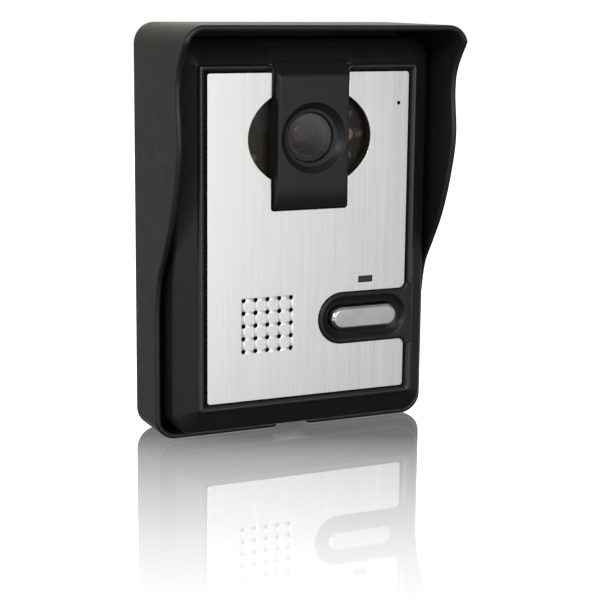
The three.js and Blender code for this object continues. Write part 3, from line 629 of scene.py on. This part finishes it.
def hood_edge():
    """Round the hood's front edge: (x, z, outward x, outward z, depth, x at the back)."""
    half_width, half_height = hood.width / 2, hood.height / 2
    straight_x, straight_z = half_width - HOOD_RADIUS, half_height - HOOD_RADIUS
    notch_back = HOOD_LIP - NOTCH_DEPTH
    mouth, inner = 1.8, 1.5
    notch = arc(-NOTCH_HALF - mouth, HOOD_LIP - mouth, mouth, 90, 0, 6)
    notch += arc(-NOTCH_HALF + inner, notch_back + inner, inner, 180, 270, 6)
    notch += arc(NOTCH_HALF - inner, notch_back + inner, inner, 270, 360, 6)
    notch += arc(NOTCH_HALF + mouth, HOOD_LIP - mouth, mouth, 180, 90, 6)
    notch = without_repeats(notch)
    first, last = notch[0][0], notch[-1][0]

    edge = []

    def sill(start, end, first_step):
        for i in range(first_step, 6):
            x = start + (end - start) * i / 6
            edge.append((x, -half_height, 0, -1, HOOD_LIP, x))

    def corner(side_x, side_z, start):
        for i in range(13):
            angle = math.radians(start + 90 * i / 12)
            nx, nz = math.cos(angle), math.sin(angle)
            x = side_x * straight_x + HOOD_RADIUS * nx
            z = side_z * straight_z + HOOD_RADIUS * nz
            edge.append((x, z, nx, nz, visor_depth(z), x))

    def cheek(side, steps=84):
        x = side * half_width
        for i in range(1, steps):
            z = side * straight_z * (2 * i / steps - 1)
            edge.append((x, z, side, 0, visor_depth(z), x))

    sill(-straight_x, first, 0)
    for i, (x, depth) in enumerate(notch):
        back_x = first + (last - first) * i / (len(notch) - 1)
        edge.append((x, -half_height, 0, -1, depth, back_x))
    sill(last, straight_x, 1)
    corner(1, -1, -90)
    cheek(1)
    corner(1, 1, 0)
    corner(-1, 1, 90)
    cheek(-1)
    corner(-1, -1, 180)
    edge.pop()
    return edge


def hood_shell():
    """The hood's wall from its back edge, over the rim and down inside to the back plate."""
    edge = hood_edge()
    count = len(edge)
    forward = []
    for i in range(count):
        before, after = edge[i - 1], edge[(i + 1) % count]
        along = Vector((after[0] - before[0], before[4] - after[4], after[1] - before[1]))
        outward = Vector((edge[i][2], 0, edge[i][3]))
        forward.append(outward.cross(along).normalized())

    build = Build(drop=0)

    def front_ring(inset, behind):
        """The edge moved inwards by the inset and back along its own direction."""
        points = []
        for (x, z, nx, nz, depth, _), ahead in zip(edge, forward):
            points.append((x - nx * inset - ahead.x * behind, depth + ahead.y * behind,
                           z - nz * inset - ahead.z * behind))
        return build.place(points)

    def back_ring(inset, depth):
        return build.place([(back_x - nx * inset, depth, z - nz * inset)
                            for _, z, nx, nz, _, back_x in edge])

    radius, fillet, back_edge = HOOD_WALL / 2, 0.8, 0.7
    rings = [back_ring(back_edge * (1 - sine), back_edge * (1 - cosine))
             for sine, cosine in quarter_turn(4)]
    rings.append(front_ring(0, radius))
    rim_steps = 10
    for i in range(1, rim_steps):
        angle = math.pi * i / rim_steps
        rings.append(front_ring(radius * (1 - math.cos(angle)), radius * (1 - math.sin(angle))))
    rings.append(front_ring(HOOD_WALL, radius))
    for sine, cosine in quarter_turn(4):
        rings.append(back_ring(HOOD_WALL + fillet * (1 - cosine), HOOD_BACK + fillet * (1 - sine)))
    build.bridge_all(rings)

    cable_opening = round_rect(15, 12, 3, 8, 0, -45)
    walls = [(rings[0], rings[-1]), build.wall(cable_opening, 0, HOOD_BACK, 0.3, 3, -1)]
    for side_x in (-1, 1):
        for side_z in (-1, 1):
            screw_slot = round_rect(2.25, 4.5, 2.2, 8, side_x * 34, side_z * 52)
            walls.append(build.wall(screw_slot, 0, HOOD_BACK, 0.3, 3, -1))
    for edges in zip(*walls):
        build.fill(edges)
    return build.object("rain_hood_shell")


def upright_rod(name, radius, z0, z1):
    """A round rod round the axis of the screw in the sill."""
    build = Build(drop=0)
    rings = []
    for z in (z0, z1):
        points = [(x, SILL_SCREW_DEPTH + d, z) for x, d in circle(0, 0, radius, 40)]
        rings.append(build.place(points))
    build.bridge_all(rings)
    for ring, z in zip(rings, (z0, z1)):
        build.fan(ring, (0, SILL_SCREW_DEPTH, z))
    return build.object(name)


def case_hook(side):
    """One hook on the wall plate that the rear case hangs on."""
    stem, tip = (round_rect(4, half, 0.45, 3, side * 20, z) for half, z in ((1, 45), (1.75, 47.25)))
    return add(slab("hook", stem, HOOD_BACK - 0.5, 9.5, 0.3, drop=0),
               slab("tip", tip, 7.5, 9.5, 0.3, drop=0))


def make_hood():
    shell = hood_shell()
    sill = -hood.height / 2
    pad = upright_rod("pad", 5, sill + 0.5, sill + HOOD_WALL + 0.6)
    add(shell, pad, case_hook(-1), case_hook(1))
    cut(shell, upright_rod("bore", 3, sill - 1, sill + 1.4),
        upright_rod("hole", 1.6, sill - 1, sill + 6))
    finish(shell, "station", "hood_plastic", "rain_hood", hood_plastic)


# ---------------------------------------------------------------- front bezel

def frame_ring(build, half_width, half_height, radius, depth):
    """A round-cornered loop of the frame, which dips under the top of the camera block."""
    dip_half, dip_side, dip_bottom = 15.5, 0.8, 50
    outline = round_rect(half_width, half_height, radius, 8)
    after_top_right = 18
    steps = [16.6, 16.3, 16.0, 15.7, 15.4, 7]
    crossing = steps + [0] + [-x for x in reversed(steps)]
    outline[after_top_right:after_top_right] = [(x, half_height) for x in crossing]
    points = []
    for x, z in outline:
        low = min(depth, BLOCK_SHELF)
        share = min(1, max(0, (abs(x) - dip_half) / dip_side)) if z > dip_bottom else 1
        points.append((x, low + (depth - low) * share, z))
    return build.place(points)


def bezel_frame():
    """The frame round the plate: side walls, slope, bead, floor, and the hollow behind them."""
    half_width, half_height = bezel.width / 2, bezel.height / 2
    low = (half_width, half_height, FRAME_CORNER, FRAME_LOW)
    shoulder = (half_width, half_height, FRAME_CORNER, FRAME_SHOULDER)
    bead = [(x, x + BEAD_TALLER, BEAD_CORNER - 0.35 * (BEAD[0][0] - x), depth) for x, depth in BEAD]
    past = blend(shoulder, bead[0], 0.2)
    stations = [(half_width - inset, half_height - inset, FRAME_CORNER - inset, FRAME_BACK + ahead)
                for inset, ahead in ((0.4, 0), (0.1, 0.1), (0, 0.4))]
    for i in range(8):
        t = i / 7
        stations.append(blend(blend(low, shoulder, t), blend(shoulder, past, t), t))
    build = Build()
    outer = [frame_ring(build, *station) for station in stations + bead]
    hollow = [(42.2, 61.2, 1.6, FLOOR_BACK), (46.2, 65.9, 5.4, 25.4),
              (46.2, 65.9, 5.4, FRAME_BACK + 0.3), (46.5, 66.2, 5.7, FRAME_BACK)]
    inner = [build.ring(round_rect(w, h, r, 8), depth) for w, h, r, depth in hollow]
    slope_rings = len(stations)
    build.bridge_all(outer[:slope_rings + 1])
    # The bead's bands take the lighter plastic with the painted highlight.
    build.bridge_all(outer[slope_rings:-2], 2)
    # The groove's inner wall down to the floor takes the darker plastic with the painted shade.
    build.bridge_all(outer[-3:], 1)
    build.bridge_all(inner)
    build.fill([outer[0], inner[-1]])

    holes = [oval_arc(0, 360, 96)[:-1],
             round_rect(2.9, 1.2, 0.3, 3, INDICATOR_X, INDICATOR_Z),
             circle(MIC_X, MIC_Z, 0.7, 16)]
    holes += grille_holes(GRILLE_RADIUS + 0.1, 20)
    front_edges, back_edges = [outer[-1]], [inner[0]]
    for hole in holes:
        front, rear = build.ring(hole, FLOOR_FRONT), build.ring(hole, FLOOR_BACK)
        build.bridge(front, rear)
        front_edges.append(front)
        back_edges.append(rear)
    # The floor in front, behind the plate, takes the painted shade too.
    build.fill(front_edges, 1)
    build.fill(back_edges)
    return build.object("front_bezel_shell", [case_plastic, painted_shade_plastic, bead_painted_highlight_plastic])


def grille_holes(radius, steps):
    """The speaker holes. Each is turned a little more, so that no edge points line up."""
    half = (GRILLE_COUNT - 1) / 2
    holes = []
    for row in range(GRILLE_COUNT):
        for column in range(GRILLE_COUNT):
            x = GRILLE_X + (column - half) * GRILLE_PITCH
            z = GRILLE_Z + (row - half) * GRILLE_PITCH
            holes.append(circle(x, z, radius, steps, 0.7 * len(holes)))
    return holes


def block_stations():
    """(z, front depth) up the camera block: a curved lower end, a flat front, an upper slope."""
    bottom, rise, start = SLOT_BOTTOM + 0.4, 9, 32.3
    stations = [(bottom + rise * (1 - cosine), start + (BLOCK_FRONT - start) * sine)
                for sine, cosine in quarter_turn(16)]
    corner, slope_end = (55.7, BLOCK_FRONT), (59.9, 32.2)
    stations.append((corner[0] - 1.2, BLOCK_FRONT))
    for i in range(1, 7):
        t = i / 6
        before = blend((corner[0] - 0.9, BLOCK_FRONT), corner, t)
        after = blend(corner, blend(corner, slope_end, 0.18), t)
        stations.append(blend(before, after, t))
    stations += [slope_end, (60.9, 31.2)]
    return stations


def block_half(depth):
    """Half the block's width at a depth; its sides lean in towards the front."""
    back, front = FLOOR_BACK - 1, BLOCK_FRONT + 0.5
    lean = (depth - back) / (front - back)
    return BLOCK_HALF_BASE + (BLOCK_HALF_FRONT - BLOCK_HALF_BASE) * lean


def camera_block():
    """The block that bridges the infra-red window, with the stepped recess of the lens."""
    build = Build()
    rings = []
    edge = 0.8
    base = FLOOR_BACK + 0.35
    for z, front in block_stations():
        shoulder = front - edge
        half = block_half(shoulder)
        section = [(block_half(base), base), (half, shoulder)]
        for sine, cosine in quarter_turn(4, 1):
            section.append((half - edge * (1 - cosine), shoulder + edge * sine))
        section.append((6, front))
        section += [(-x, depth) for x, depth in reversed(section)]
        rings.append(build.place([(x, depth, z) for x, depth in section]))
    build.rod(rings)
    block = build.object("block")
    recess = lathe("recess", [
        (0, BLOCK_FRONT + 1.2), (12.9, BLOCK_FRONT + 1.2), (12.35, BLOCK_FRONT + 0.02),
        (12.1, BLOCK_FRONT - 0.1), (11.9, BLOCK_FRONT - 0.35), (11.75, BLOCK_FRONT - 0.7),
        (10.15, 33.45), (9.95, 33.25), (9.7, 33.2), (8.9, 33.2), (8.7, 33.1), (8.6, 32.9),
        (8.6, 30.9), (7.8, 30.9), (7.6, 30.7), (7.6, 28.5), (0, 28.5),
    ], 0, LENS_Z, 96)
    return cut(block, recess)


def button_pad():
    """The raised surround of the button, open into the frame at the right."""
    radius, fillet = PAD_RADIUS - 0.3, 2.3
    corner_x, corner_z = plate.width / 2 - 2, PAD_RADIUS + 2
    outline = arc(DISH_LEFT, BUTTON_Z, radius, 90, 270, 36)
    outline += arc(corner_x, BUTTON_Z - corner_z, fillet, 90, 0, 8)
    outline += [(41.1, BUTTON_Z - corner_z), (41.1, BUTTON_Z + corner_z)]
    outline += arc(corner_x, BUTTON_Z + corner_z, fillet, 0, -90, 8)
    pad = slab("pad", outline, FLOOR_BACK + 0.5, PAD_CREST, 0.75, steps=6)
    build = Build()
    lip, well = 7.9, BUTTON_RADIUS + 0.3
    profile = [(8.6, PAD_CREST + 1), (8.15, PAD_CREST + 0.03), (7.85, PAD_CREST - 0.1),
               (7.55, PAD_CREST - 0.32), (7.25, PAD_CREST - 0.65), (6.8, PAD_CREST - 1.2),
               (6.2, PAD_CREST - 1.75), (5.6, PAD_CREST - 2.15), (5.0, FLOOR_FRONT + 0.1),
               (well + 0.3, FLOOR_FRONT), (well, FLOOR_FRONT - 0.3), (well, 20)]
    rings = []
    for reach, depth in profile:
        share = (lip - reach) / (lip - well)
        left = DISH_LEFT + (BUTTON_ENDS[0] - DISH_LEFT) * min(1, max(0, share))
        right = DISH_RIGHT + (BUTTON_ENDS[1] - DISH_RIGHT) * min(1, max(0, share))
        rings.append(build.ring(pill(left, right, BUTTON_Z, reach, 32), depth))
    build.bridge_all(rings)
    build.fill([rings[0]])
    build.fill([rings[-1]])
    return pad, build.object("dish")


def bezel_posts():
    """Tubes behind the floor for the screws, the speaker and the microphone."""
    posts = []

    def tube(x, z, outer, inner, back, front):
        posts.append(lathe("post", [
            (outer, back), (outer, front), (inner, front), (inner, back),
        ], x, z, 28))

    root = FLOOR_BACK + 0.5
    for side_x in (-1, 1):
        for side_z in (-1, 1):
            tube(side_x * 40.5, side_z * 60.5, 3.4, 1.5, FRAME_BACK, 28.2)
            tube(side_x * 39, -25 + side_z * 27, 2.6, 1.3, 18.9, root)
    for side in (-1, 1):
        tube(0, LENS_Z + side * 24.5, 2.4, 1.3, 13.9, root)
        tube(side * 23, LENS_Z - side * 17, 2, 1.1, 21.9, root)
    tube(GRILLE_X, GRILLE_Z, 15.8, 14.6, 22.5, root)
    tube(MIC_X, MIC_Z, 5.3, 4.3, 24, root)
    return posts


def bead_turns():
    """Where the bead round the plate turns down both sides of the slot, beside the camera block."""
    turns = []
    bend_x, bend_z, bend, base = 15.5, 57.2, 1.3, 30.4
    for side in (-1, 1):
        path = [(17.5, 58.45, 0, 1, 0.78, 33.54), (16.2, 58.5, 0, 1, 0.8, 33.58)]
        for i in range(9):
            angle = math.radians(90 + 90 * i / 8)
            share = i / 8
            path.append((bend_x + bend * math.cos(angle), bend_z + bend * math.sin(angle),
                         math.cos(angle), math.sin(angle), 0.8 - 0.32 * share, 33.58 - 0.1 * share))
        path += [(14.2, 54, -1, 0, 0.46, 33.3), (14.2, 50, -1, 0, 0.44, 33.0),
                 (14.2, 48.6, -1, 0, 0.4, 32.4), (14.2, 48.2, -1, 0, 0.3, 31.4)]
        build = Build()
        rings = []
        for x, z, out_x, out_z, half, crest in path:
            section = [(-half, base)]
            for i in range(11):
                angle = math.pi * i / 10
                section.append((-half * math.cos(angle), crest - half * (1 - math.sin(angle))))
            section.append((half, base))
            rings.append(build.place([(side * (x + out_x * across), depth, z + out_z * across)
                                      for across, depth in section]))
        build.rod(rings)
        turns.append(build.object("turn"))
    return turns


def make_bezel():
    shell = bezel_frame()
    pad, dish = button_pad()
    guide = slab("guide", pill(*BUTTON_ENDS, BUTTON_Z, BUTTON_RADIUS + 1.8), 27, FLOOR_BACK + 0.5)
    add(shell, camera_block(), pad, guide, *bead_turns(), *bezel_posts())
    cut(shell, dish)
    finish(shell, "station", "case_plastic", "front_bezel")


# ---------------------------------------------------------------- face plate

def plate_outline():
    half_width, half_height = plate.width / 2, plate.height / 2
    corner_x, corner_z = half_width - 2, PAD_RADIUS + 2
    meet = math.degrees(math.acos(SLOT_HALF / OVAL_HALF_WIDTH))
    points = arc(-half_width + 1, -half_height + 1, 1, 180, 270, 6)
    points += arc(half_width - 1, -half_height + 1, 1, 270, 360, 6)
    points += arc(corner_x, BUTTON_Z - corner_z, 2, 0, 90, 10)
    points += arc(DISH_LEFT, BUTTON_Z, PAD_RADIUS, 270, 90, 48)
    points += arc(corner_x, BUTTON_Z + corner_z, 2, -90, 0, 10)
    points += arc(half_width - 1, half_height - 1, 1, 0, 90, 6)
    points += arc(SLOT_HALF + 0.4, half_height - 0.4, 0.4, 90, 180, 4)
    points += oval_arc(meet, -meet, 48)
    points += arc(SLOT_HALF - 1, SLOT_BOTTOM + 1, 1, 0, -90, 6)
    points += arc(-SLOT_HALF + 1, SLOT_BOTTOM + 1, 1, -90, -180, 6)
    points += oval_arc(180 + meet, 180 - meet, 48)
    points += arc(-SLOT_HALF - 0.4, half_height - 0.4, 0.4, 0, 90, 4)
    points += arc(-half_width + 1, half_height - 1, 1, 90, 180, 6)
    return points


def make_plate():
    holes = grille_holes(GRILLE_RADIUS, 24)
    holes.append(round_rect(2.8, 1.1, 0.3, 4, INDICATOR_X, INDICATOR_Z))
    holes.append(circle(MIC_X, MIC_Z, 0.6, 20))
    sheet = slab("face_plate_sheet", plate_outline(), plate.back, plate.front, 0.14, holes)
    for material in (plate_metal, edge_metal):
        sheet.data.materials.append(material)
    for polygon in sheet.data.polygons:
        polygon.material_index = 0 if abs(polygon.normal.y) > 0.9 else 1
    finish(sheet, "station", "brushed_plate", "face_plate", sharp=50)


# ---------------------------------------------------------------- call button

def make_button():
    build = Build()
    radius, front = BUTTON_RADIUS, cap.front
    profile = [(5.3, 25.6), (5.6, 25.8), (5.6, 26.5), (5.4, 26.7), (radius + 0.2, 26.7),
               (radius, 26.9), (radius, front - 1.0), (radius - 0.04, front - 0.88),
               (radius - 0.14, front - 0.76), (radius - 0.72, front - 0.16),
               (radius - 0.84, front - 0.07), (radius - 1.0, front - 0.02)]
    rings = [build.ring(pill(*BUTTON_ENDS, BUTTON_Z, reach, 32), depth) for reach, depth in profile]
    build.bridge_all(rings[:11], 1)
    build.bridge_all(rings[10:], 0)
    face = build.ring(pill(*BUTTON_ENDS, BUTTON_Z, radius - 1.5, 32), front)
    build.bridge(rings[-1], face, 0)
    build.fill([face], 0)
    build.fill([rings[0]], 1)
    button = build.object("call_button_cap", [cap_satin, cap_polish])
    add(button, lathe("plunger", [(0, 24.3), (1.9, 24.3), (2.2, 24.6), (2.2, 26), (0, 26)],
                      21.8, BUTTON_Z))
    finish(button, "button", "button_chrome", "call_button")


def make_springs():
    """The coils behind the call button."""
    wire, radius, turns, back, front = 0.25, 1.6, 5, 19.2, 25.2
    steps = 24 * turns
    for name, x in (("button_spring_left", 14.3), ("button_spring_right", 29.3)):
        build = Build()
        rings = []
        for i in range(steps + 1):
            angle = 2 * math.pi * turns * i / steps
            depth = back + (front - back) * i / steps
            sine, cosine = math.sin(angle), math.cos(angle)
            section = [(x + reach * cosine, depth + ahead, BUTTON_Z + reach * sine)
                       for reach, ahead in circle(radius, 0, wire, 8)]
            rings.append(build.place(section))
        build.rod(rings)
        spring = build.object(f"{name}_coil")
        finish(spring, "station", "steel", name, steel)
        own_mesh(spring)


# ---------------------------------------------------------------- camera

def make_lens():
    window = lathe("lens_window_disc", [
        (0, 31.1), (8.15, 31.1), (8.4, 31.3), (8.4, 31.95), (8.32, 32.12), (8.15, 32.2), (0, 32.2),
    ], 0, LENS_Z, 96)
    finish(window, "station", "clear_window", "lens_window", clear_window)

    rings = [(6.45, 30.4), (7.1, 30.4), (7.2, 30.3), (7.2, 26), (6, 26), (6, 15.4), (4.6, 15.4),
             (4.6, 24.4), (5.55, 26.3), (5.6, 28.1)]
    for i in range(5):
        depth = 28.2 + 0.4 * i
        rings += [(5.68 + 0.13 * i, depth), (5.78 + 0.13 * i, depth + 0.1),
                  (5.70 + 0.13 * i, depth + 0.25)]
    barrel = lathe("lens_barrel_turned", rings, 0, LENS_Z, 72)
    finish(barrel, "station", "barrel_metal", "lens_barrel", barrel_black, sharp=30)

    rim, rise, rim_depth, steps = 5.3, 2.2, 26.6, 14
    dome = [(0, rim_depth + rise)]
    for i in range(1, steps + 1):
        share = i / steps
        dome.append((rim * share, rim_depth + rise * math.sqrt(1 - 0.9 * share * share)))
    dome += [(rim, rim_depth + 0.1), (rim - 0.1, rim_depth), (0, rim_depth)]
    element = lathe("lens_front_glass", dome, 0, LENS_Z, 72)
    finish(element, "station", "lens_glass", "lens_front_element", lens_coating)


# ---------------------------------------------------------------- infra-red lamp

LAMP_PLACES = [(-18.3, 7.2), (-22.4, 0), (-18.3, -7.2), (18.3, 7.2), (22.4, 0), (18.3, -7.2)]


def make_infrared():
    oval = oval_arc(0, 360, 120)[:-1]
    window = slab("ir_window_pane", moved_in(oval, -1.5), 27.4, 29, 0.15,
                  [circle(0, LENS_Z, 8.2, 64)])
    finish(window, "station", "tinted_window", "ir_window", tinted_window)
    for index, (x, z) in enumerate(LAMP_PLACES):
        profile = [(0, 21.7), (1.7, 21.7), (1.75, 21.8), (1.75, 22.4), (1.7, 22.5), (1.5, 22.5)]
        for sine, cosine in quarter_turn(8):
            profile.append((1.5 * cosine, 25 + 1.5 * sine))
        profile[-1] = (0, 26.5)
        name = f"ir_led_{index + 1}"
        lamp = lathe(f"{name}_lens", profile, x, LENS_Z + z, 32)
        finish(lamp, "station", "clear_lamp", name, clear_lamp)


# ---------------------------------------------------------------- pieces kept from the frame

KEPT = {
    "rear_case": case_plastic, "lens_holder": case_plastic, "case_seal": rubber,
    "mic_boot": rubber, "plate_tape": tape_white, "camera_board": circuit_green,
    "main_board": circuit_green, "ir_board": circuit_green, "image_sensor": sensor_glass,
    "led_light_pipe": smoked_lamp, "status_led": clear_lamp, "light_sensor": photocell_face,
    "processor_chip": chip_black, "amplifier_chip": chip_black,
    "capacitor_1": capacitor_sleeve, "capacitor_2": capacitor_sleeve,
    "camera_ribbon": ribbon_grey, "terminal_block": terminal_green,
    "tact_switch": switch_black, "switch_stem": stem_white,
    "speaker_basket": speaker_steel, "speaker_magnet": speaker_steel,
    "mic_capsule": speaker_steel, "speaker_cone": cone_paper, "speaker_gasket": foam,
    "bottom_fixing_screw": steel,
    **{f"terminal_screw_{i}": steel for i in range(1, 5)},
    **{f"case_screw_{i}": steel for i in range(1, 5)},
    **{f"board_screw_{i}": steel for i in range(1, 5)},
    **{f"camera_screw_{i}": steel for i in range(1, 3)},
    **{f"ir_screw_{i}": steel for i in range(1, 3)},
}


def dress_kept_nodes():
    for name, material in KEPT.items():
        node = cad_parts[name]
        node.data.materials.clear()
        node.data.materials.append(material)
        edges = node.modifiers.new("edges", "BEVEL")
        edges.width = 0.08 * MM
        edges.segments = 2
        edges.limit_method = "ANGLE"
        edges.angle_limit = math.radians(40)


# ---------------------------------------------------------------- stage

VIEW_AZIMUTH = math.radians(25.169)
VIEW_PITCH = math.radians(11.028)
VIEW_ROLL = math.radians(0.613)
CAMERA_PLACE = (-0.2347, -0.5252, 0.0829)
FOCAL_LENGTH = 95.14
PANEL_MIDDLE = (0, -0.02, 0.02)

# Distance in front of the panel and share of mirror in the floor.
FLOOR_POLISH = [(0.03, 0.86), (0.06, 0.66), (0.105, 0.46), (0.15, 0.28), (0.2, 0.14), (0.27, 0)]
# Light levels by how nearly a direction points up, to the strip and to the right.
ROOM_HEIGHTS = [(-1, 0.05), (-0.45, 0.16), (-0.3, 1.33), (-0.16, 1.3), (-0.06, 1), (0.1, 0.95),
                (0.5, 0.7), (1, 0.45)]
ROOM_STRIP = [(-1, 0.17), (-0.5, 0.35), (0.3, 0.6), (0.7, 0.5), (0.88, 0.34), (0.95, 1.48),
              (1, 1.6)]
ROOM_RIGHT = [(0.47, 1.06), (0.85, 0.25)]


def make_floor():
    """A white floor with a polish that fades in front of the panel."""
    mesh = bpy.data.meshes.new("floor")
    size, level = 6.0, cad_bounds[0].z - 0.0002
    corners = [(x * size, y * size, level) for x, y in ((-1, -1), (1, -1), (1, 1), (-1, 1))]
    mesh.from_pydata(corners, [], [(0, 1, 2, 3)])
    floor = bpy.data.objects.new("floor", mesh)
    bpy.context.scene.collection.objects.link(floor)
    floor.visible_diffuse = False
    floor.visible_glossy = False
    floor.visible_shadow = False
    surface = Surface("floor_white", (0.5, 0.5, 0.5), 0.6, Emission_Strength=0.9,
                      Emission_Color=(1, 1, 1, 1))
    surface.vary_roughness(surface.noise(40), 0.05)
    forward = (-math.sin(VIEW_AZIMUTH), -math.cos(VIEW_AZIMUTH), 0)
    distance = surface.along(surface.coordinates, forward)
    reach = 0.3
    stops = [(place / reach, (polish,) * 3) for place, polish in FLOOR_POLISH]
    share = surface.ramp(surface.remap(distance, 0, 1, 0, reach), stops)
    mirror = surface.node("BsdfGlossy", {"Color": (0.99, 0.99, 0.99, 1), "Roughness": 0.02})
    surface.show(surface.mix_shaders(share, surface.shader, mirror))
    mesh.materials.append(surface.material)


def area_light(name, place, size, power, color=(1, 1, 1)):
    """A square light that faces the panel."""
    data = bpy.data.lights.new(name, "AREA")
    data.shape = "RECTANGLE"
    data.size = size
    data.size_y = size
    data.energy = power
    data.color = color
    light = bpy.data.objects.new(name, data)
    light.location = place
    light.rotation_mode = "QUATERNION"
    light.rotation_quaternion = (Vector(PANEL_MIDDLE) - Vector(place)).to_track_quat("-Z", "Y")
    bpy.context.scene.collection.objects.link(light)


class Room(NodeTree):
    """The world's light as a function of direction."""

    def __init__(self, world):
        super().__init__(world)
        self.direction = self.nodes.new("ShaderNodeTexCoord").outputs["Generated"]

    def towards(self, axis, stops):
        """Light levels at stops of how nearly a direction points along an axis, from -1 to 1."""
        share = self.remap(self.along(self.direction, axis), 0, 1, -1, 1)
        return self.ramp(share, [((value + 1) / 2, (level,) * 3) for value, level in stops])


def make_world():
    """A white backdrop behind the panel, and a grey room with a broad bright strip in front."""
    world = bpy.data.worlds.new("studio")
    room = Room(world)
    heights = room.towards((0, 0, 1), ROOM_HEIGHTS)
    strip_azimuth = math.radians(2)
    strip_axis = (math.sin(strip_azimuth), -math.cos(strip_azimuth), 0)
    strip = room.towards(strip_axis, ROOM_STRIP)
    lit = room.mix("MULTIPLY", heights, strip)
    lit = room.mix("MULTIPLY", lit, room.towards((1, 0, 0), ROOM_RIGHT))
    backdrop_axis = (math.sin(VIEW_AZIMUTH), math.cos(VIEW_AZIMUTH), 0)
    backdrop = room.towards(backdrop_axis, [(0.72, 0), (0.86, 1)])
    above = room.towards((0, 0, 1), [(0.03, 0), (0.1, 1)])
    screen = room.mix("MIX", (1.02, 1.02, 1.02, 1), (1.6, 1.56, 1.38, 1), above)
    everything = room.mix("MIX", lit, screen, backdrop)
    room.feed(room.nodes["Background"], {"Color": everything, "Strength": 1.0})
    bpy.context.scene.world = world


def make_lights():
    make_world()
    area_light("front", (-0.25, -1.05, 0.6), 0.45, 4.0)
    area_light("left", (-0.88, -0.6, 0.4), 0.2, 3.2, (0.93, 0.96, 1))


def make_camera():
    level = math.cos(VIEW_PITCH)
    forward = Vector((math.sin(VIEW_AZIMUTH) * level, math.cos(VIEW_AZIMUTH) * level,
                      -math.sin(VIEW_PITCH)))
    data = bpy.data.cameras.new("camera")
    data.lens = FOCAL_LENGTH
    data.sensor_width = 36
    camera = bpy.data.objects.new("camera", data)
    camera.location = CAMERA_PLACE
    camera.rotation_mode = "QUATERNION"
    aim = forward.to_track_quat("-Z", "Y")
    camera.rotation_quaternion = aim @ Quaternion((0, 0, 1), VIEW_ROLL)
    bpy.context.scene.collection.objects.link(camera)
    bpy.context.scene.camera = camera


make_camera()
make_hood()
make_bezel()
make_plate()
make_button()
make_springs()
make_lens()
make_infrared()
dress_kept_nodes()
make_floor()
make_lights()
bpy.context.scene.view_settings.view_transform = "Standard"
